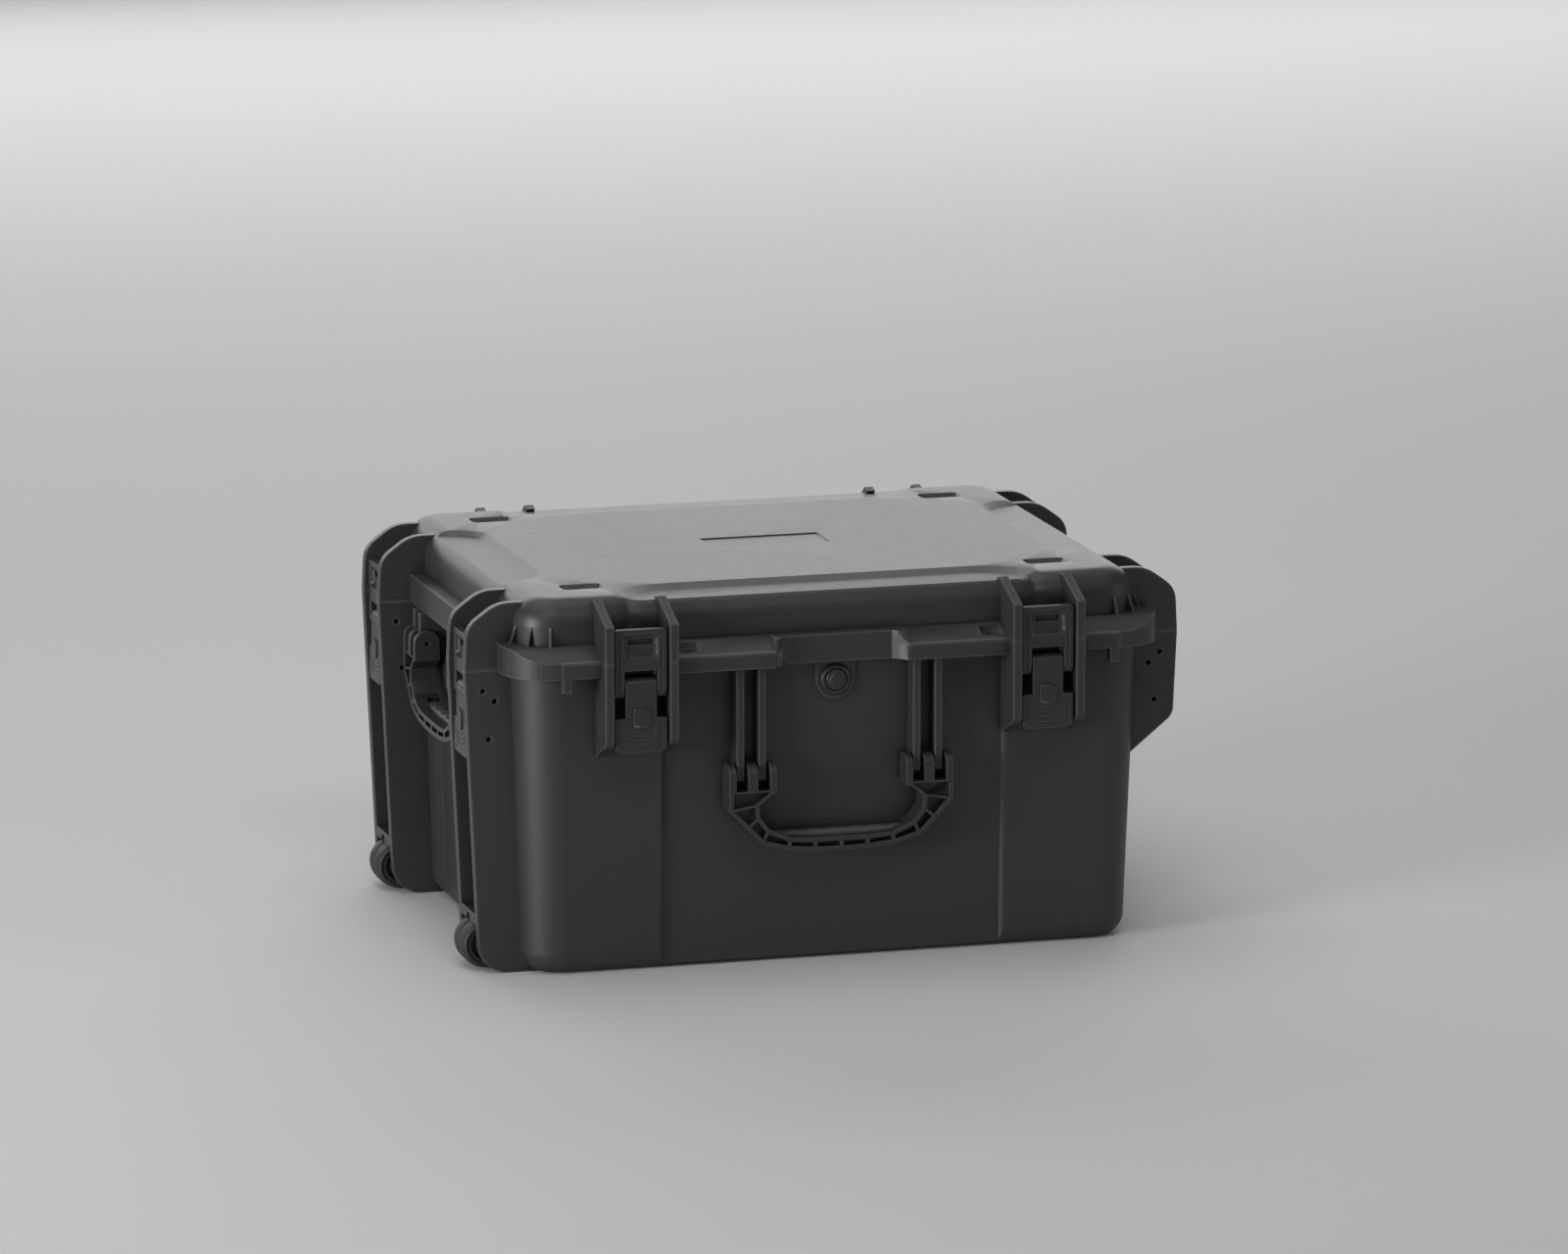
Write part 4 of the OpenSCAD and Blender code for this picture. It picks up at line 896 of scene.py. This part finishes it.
@dataclass
class Valve:
    """The pressure valve: a rounded collar, and a knob whose raised middle is softly six-sided."""

    shop: Workshop
    sides: int = 6
    side_deep: float = 0.7 * MM
    face: float = 4.0 * MM
    stem: float = 6.9 * MM
    hole: float = 3.05 * MM
    knob_stem: float = 2.95 * MM
    knob_gap: float = 0.4 * MM
    segments: int = 120

    def turned(self, name: str, node: str, body: str, profile: Array, wave: Callable | None) -> None:
        """Turns a profile about the valve's axis, with the outer end towards the front.

        Args:
            name: the piece's name.
            node: the CAD node it replaces.
            body: the body it rides on.
            profile: rows of radius and place outwards from the node's outermost face.
            wave: change of the radius with station and angle.
        """
        low, high = (np.array(corner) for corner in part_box(node))
        local, faces = lathe(profile, self.segments, wave)
        centre = np.array([(low[0] + high[0]) / 2, low[1], (low[2] + high[2]) / 2])
        points = np.stack([local[:, 0], -local[:, 2], local[:, 1]], -1) + centre
        piece = self.shop.mesh_object(name, points, faces)
        self.shop.finish_piece(piece, body, Slot.TRIM, node, sharp=38.0)

    def build(self) -> None:
        """Builds collar and knob."""
        low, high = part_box("valve_body")
        r, long = (high.x - low.x) / 2, high.y - low.y
        knob_low, knob_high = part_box("valve_knob")
        knob_r, knob_long = (knob_high.x - knob_low.x) / 2, knob_high.y - knob_low.y
        face, stem, hole, knob_stem = self.face, self.stem, self.hole, self.knob_stem
        gap = knob_r + self.knob_gap
        ring = [(hole, -long, 0.0), (stem, -long, 0.3 * MM), (stem, -face, 0.2 * MM), (r, -face, 0.4 * MM)]
        ring += [(r - 0.6 * MM, -1.0 * MM, 0.8 * MM), (r - 2.0 * MM, 0.0, 0.8 * MM)]
        ring += [(gap + 0.8 * MM, 0.0, 0.5 * MM), (gap, -0.8 * MM, 0.4 * MM)]
        ring += [(gap, -2.6 * MM, 0.3 * MM), (hole, -2.6 * MM, 0.2 * MM)]
        ring += [(hole, -long, 0.0)]
        self.turned("valve_collar", "valve_body", "base", rounded_profile(ring), None)
        dome = [(0.0, 0.0, 0.0), (knob_r * 0.62, 0.0, 1.5 * MM), (knob_r * 0.7, -1.1 * MM, 0.6 * MM)]
        dome += [(knob_r - 0.9 * MM, -1.3 * MM, 0.6 * MM), (knob_r, -2.2 * MM, 0.8 * MM)]
        dome += [(knob_r, -4.5 * MM, 0.3 * MM), (knob_stem, -4.6 * MM, 0.2 * MM)]
        dome += [(knob_stem, -knob_long, 0.3 * MM), (0.0, -knob_long, 0.0)]
        profile = rounded_profile(dome)
        middle = np.clip(1 - np.abs(profile[:, 0] - knob_r * 0.68) / (knob_r * 0.25), 0.0, 1.0)

        def facets(station: Array, turn: Array) -> Array:
            """Makes the raised middle six-sided by a cosine.

            Args:
                station: number of the profile's point.
                turn: angle about the axis.
            Returns:
                What is added to the radius.
            """
            return middle[station] * -self.side_deep * (0.5 - 0.5 * np.cos(self.sides * turn))

        self.turned("valve_dial", "valve_knob", "valve_knob", profile, facets)


@dataclass
class Lining:
    """Foam lining: floor pad, side walls, slotted dividers and a waved lid pad."""

    shop: Workshop
    wave_pitch: float = 38.0 * MM
    wave_deep: float = 11.0 * MM
    wave_fade: float = 20.0 * MM
    wave_edge: float = 10.0 * MM
    corner: float = 34.0 * MM
    pad_round: float = 12.0 * MM
    wall_round: float = 5.0 * MM
    leaf_round: float = 2.6 * MM
    draft: float = 1.7

    def pad(self, name: str, body: str, points: Array, faces: list, node: str) -> None:
        """Dresses one foam piece.

        Args:
            name: the piece's name.
            body: the body it rides on.
            points: its points.
            faces: its faces.
            node: the CAD node it replaces.
        """
        piece = self.shop.mesh_object(name, points, faces)
        self.shop.finish_piece(piece, body, Slot.FOAM, node, sharp=60.0)

    def tuck_corners(self, points: Array, half: Array) -> Array:
        """Rounds the plan's corners: a point past a corner's circle is drawn back onto it.

        Args:
            points: the points.
            half: half length and half depth of the plan at each point, one row a point.
        Returns:
            The moved points.
        """
        centre = np.sign(points[:, :2]) * (half - self.corner)
        away = points[:, :2] - centre
        past = np.all(np.sign(away) == np.sign(points[:, :2]), axis=1)
        reach = np.linalg.norm(away, axis=1)
        pull = np.where(past & (reach > self.corner), self.corner / np.maximum(reach, 1e-9), 1.0)
        moved = points.copy()
        moved[:, :2] = centre + away * pull[:, None]
        return moved

    def floor_pad(self) -> None:
        """A thick sheet with rounded edges and corners."""
        low, high = (np.array(c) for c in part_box("foam_floor"))
        points, faces = rounded_box(low, high, self.pad_round, (30, 24, 2))
        half = np.broadcast_to(high[:2], (len(points), 2))
        self.pad("floor_pad", "base", self.tuck_corners(points, half), faces, "foam_floor")

    def side_walls(self) -> None:
        """Two slabs in front of and behind the slots, their outer faces leaning with the shell's draft."""
        low, high = (np.array(c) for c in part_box("foam_side_walls"))
        slot_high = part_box("foam_dividers")[1]
        lean = math.tan(math.radians(self.draft))
        all_points, all_faces = [], []
        for sign in (-1.0, 1.0):
            inner = slot_high.y + 0.3 * MM
            edges = np.sort(np.array([sign * inner, sign * high[1]]))
            a = np.array([low[0], edges[0], low[2]])
            b = np.array([high[0], edges[1], high[2]])
            points, faces = rounded_box(a, b, self.wall_round, (60, 4, 22))
            drop = (high[2] - points[:, 2]) * lean
            share = np.clip((np.abs(points[:, 1]) - inner) / (high[1] - inner), 0.0, 1.0)
            points[:, 1] -= sign * drop * share
            points[:, 0] -= points[:, 0] / high[0] * drop
            half = np.stack([high[0] - drop, high[1] - drop], -1)
            points = self.tuck_corners(points, half)
            sway = np.sin(points[:, 0] * 31.0 + sign) * np.sin(points[:, 2] * 23.0)
            points[:, 1] += sign * 0.4 * MM * sway * (1 - share)
            all_faces += [[k + sum(map(len, all_points)) for k in f] for f in faces]
            all_points.append(points)
        self.pad("side_wall_pads", "base", np.concatenate(all_points), all_faces, "foam_side_walls")

    def dividers(self) -> None:
        """Upright leaves with round, slightly wavy tops, one between each two slots and one at each end."""
        node = self.shop.frame["nodes"]["foam_dividers"]
        spots = np.empty(len(node.data.vertices) * 3)
        node.data.vertices.foreach_get("co", spots)
        spots = spots.reshape(-1, 3)
        low, high = spots.min(0), spots.max(0)
        lines = np.unique(np.round(spots[spots[:, 2] < low[2] + 1 * MM, 0], 5))
        all_points, all_faces, count = [], [], 0
        lean = math.tan(math.radians(self.draft))
        for left, right in lines.reshape(-1, 2):
            a, b = np.array([left, low[1], low[2]]), np.array([right, high[1], high[2]])
            points, faces = rounded_box(a, b, self.leaf_round, (2, 44, 30))
            up = (points[:, 2] - low[2]) / (high[2] - low[2])
            phase = 40.0 * left
            sway = np.sin(points[:, 1] * 17.0 + phase) * np.sin(points[:, 2] * 13.0 + phase)
            points[:, 0] += 0.45 * MM * sway * up
            if left < low[0] + 30 * MM or right > high[0] - 30 * MM:
                sign = math.copysign(1.0, left)
                past = points[:, 0] * sign - min(abs(left), abs(right))
                outer = np.clip(past / (right - left), 0.0, 1.0)
                points[:, 0] += sign * outer * up * (high[2] - low[2]) * lean
            points[:, 2] -= 0.8 * MM * (0.5 + 0.5 * np.sin(points[:, 1] * 29.0 + phase)) * up**8
            all_points.append(points)
            all_faces += [[k + count for k in f] for f in faces]
            count += len(points)
        self.pad("divider_pads", "base", np.concatenate(all_points), all_faces, "foam_dividers")

    def lid_pad(self) -> None:
        """A block whose lower face is waved like an egg crate.

        The face rises by the depth times one half minus half the product of two cosines of the place over
        the pitch, and the wave fades out towards the block's sides.
        """
        low, high = (np.array(c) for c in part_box("lid_foam"))
        points, faces = rounded_box(low, high, self.pad_round, (128, 100, 6))
        half = np.broadcast_to(high[:2], (len(points), 2))
        points = self.tuck_corners(points, half)
        edge = np.minimum(high[0] - np.abs(points[:, 0]), high[1] - np.abs(points[:, 1]))
        fade = np.clip((edge - self.wave_edge) / self.wave_fade, 0.0, 1.0)
        waves = np.cos(2 * math.pi * points[:, :2] / self.wave_pitch)
        rise = self.wave_deep * (0.5 - 0.5 * waves[:, 0] * waves[:, 1])
        under = points[:, 2] < low[2] + 6 * MM
        points[:, 2] += np.where(under, rise * fade**2 * (3 - 2 * fade), 0.0)
        self.pad("lid_wave_pad", "lid", points, faces, "lid_foam")

    def build(self) -> None:
        """Builds the lining."""
        self.floor_pad()
        self.side_walls()
        self.dividers()
        self.lid_pad()


@dataclass
class SmallParts:
    """Pins, axles, brackets and seal."""

    shop: Workshop

    def build(self) -> None:
        """Builds the small pieces."""
        for name, slot in (
            ("wheel_brackets", Slot.TRIM),
            ("latch_pins", Slot.PIN),
            ("handle_pins", Slot.PIN),
            ("hinge_pins", Slot.PIN),
            ("wheel_axles", Slot.PIN),
            ("rim_seal", Slot.SEAL),
        ):
            self.shop.mould(f"{name}_piece", name, "base", slot)


# stage


@dataclass(frozen=True)
class Lamp:
    """A soft rectangular lamp that looks at the case."""

    name: str
    at: tuple[float, float, float]
    size: tuple[float, float]
    watts: float
    spread: float = 180.0

    def hang(self, aim: Vector) -> None:
        """Adds the lamp to the scene.

        Args:
            aim: the point it looks at.
        """
        data = bpy.data.lights.new(self.name, "AREA")
        data.shape = "RECTANGLE"
        data.size, data.size_y = self.size
        data.energy = self.watts
        data.spread = math.radians(self.spread)
        made = bpy.data.objects.new(self.name, data)
        made.location = self.at
        made.rotation_euler = (aim - Vector(self.at)).to_track_quat("-Z", "Y").to_euler()
        bpy.context.scene.collection.objects.link(made)


LAMPS = (
    Lamp("overhead", (-0.4, 0.4, 3.8), (3.4, 3.0), 44.0),
    Lamp("back_sky", (0.6, 6.2, 2.4), (9.0, 4.0), 262.0),
    Lamp("front_high", (-0.6, -3.0, 3.6), (2.6, 1.0), 13.0, 110.0),
    Lamp("left_key", (-4.2, -1.9, 0.85), (1.8, 1.4), 60.0, 110.0),
    Lamp("right_fill", (3.8, -2.4, 1.4), (1.6, 1.8), 14.0),
)


@dataclass
class Studio:
    """Pale floor that curves up behind, soft lamps and the photograph's camera."""

    camera_at: tuple[float, float, float] = (-2.4145, -8.4689, 2.0847)
    elevation: float = 11.601
    azimuth: float = 16.035
    focal_px: float = 9402.56
    frame_px: float = 1600.0
    aim: tuple[float, float, float] = (0.0, 0.0, 0.15)
    world_colour: tuple[float, float, float, float] = (0.8, 0.8, 0.8, 1.0)
    world_strength: float = 0.19
    floor_half: float = 9.0
    floor_front: float = 15.0
    floor_back: float = 7.0
    floor_bend: float = 2.5
    wall_high: float = 7.0
    floor_colour: tuple[float, float, float] = (0.585, 0.585, 0.585)

    def camera(self) -> None:
        """Sets the camera whose focal length in pixels was fitted to the photograph."""
        data = bpy.data.cameras.new("photo_camera")
        data.sensor_width = 36.0
        data.sensor_fit = "HORIZONTAL"
        data.lens = data.sensor_width * self.focal_px / self.frame_px
        data.clip_end = 100.0
        made = bpy.data.objects.new("photo_camera", data)
        made.location = self.camera_at
        made.rotation_euler = (math.radians(90.0 - self.elevation), 0.0, -math.radians(self.azimuth))
        bpy.context.scene.collection.objects.link(made)
        bpy.context.scene.camera = made

    def floor(self) -> None:
        """Lays the floor: level in front, rising in a quarter round far behind."""
        across = np.linspace(-self.floor_half, self.floor_half, 3)
        bend, start = self.floor_bend, self.floor_back
        turn = np.linspace(0.0, math.pi / 2, 24)
        depth = np.concatenate([[-self.floor_front], start + bend * np.sin(turn), [start + bend]])
        height = np.concatenate([[0.0], bend * (1 - np.cos(turn)), [bend + self.wall_high]])
        x, y = np.meshgrid(across * 2.0, depth, indexing="ij")
        z = np.broadcast_to(height, x.shape)
        mesh = bpy.data.meshes.new("studio_floor")
        points = np.stack([x, y, z], -1).reshape(-1, 3)
        mesh.from_pydata(points.tolist(), [], grid_faces(3, len(depth)).tolist())
        mesh.shade_smooth()
        made = bpy.data.objects.new("studio_floor", mesh)
        bpy.context.scene.collection.objects.link(made)
        paint = bpy.data.materials.new("floor_paint")
        nodes = Nodes(paint)
        nodes.surface(
            Base_Color=(*self.floor_colour, 1.0),
            Roughness=0.85,
            Specular_IOR_Level=0.2,
        )
        mesh.materials.append(paint)

    def light(self) -> None:
        """Hangs the lamps and fills the world with even grey."""
        for lamp in LAMPS:
            lamp.hang(Vector(self.aim))
        world = bpy.data.worlds.new("even_grey")
        world.use_nodes = True
        background = world.node_tree.nodes["Background"]
        background.inputs["Color"].default_value = self.world_colour
        background.inputs["Strength"].default_value = self.world_strength
        bpy.context.scene.world = world

    def build(self) -> None:
        """Sets the stage."""
        bpy.context.scene.view_settings.view_transform = "Standard"
        self.camera()
        self.floor()
        self.light()


LATCH_SITES = ("front_left", "front_right", "left_front", "left_rear", "right_front", "right_rear")


def main() -> None:
    """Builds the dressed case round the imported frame."""
    logging.basicConfig(level=logging.INFO, format="%(message)s")
    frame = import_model()
    shop = Workshop(Finishes(), frame)
    Studio().build()
    Shells(shop).build()
    for site in LATCH_SITES:
        Latch(shop, site).build()
    for name, side in (("front", Side.FRONT), ("left", Side.LEFT), ("right", Side.RIGHT)):
        finger_deep = 0.4 * MM if side is Side.FRONT else 1.5 * MM
        Handle(shop, name, side, finger_deep=finger_deep).build()
    for name in ("front", "rear"):
        Wheel(shop, name).build()
    Valve(shop).build()
    SmallParts(shop).build()
    Lining(shop).build()
    LOG.info("%d pieces", shop.count)


if __name__ == "__main__":
    main()
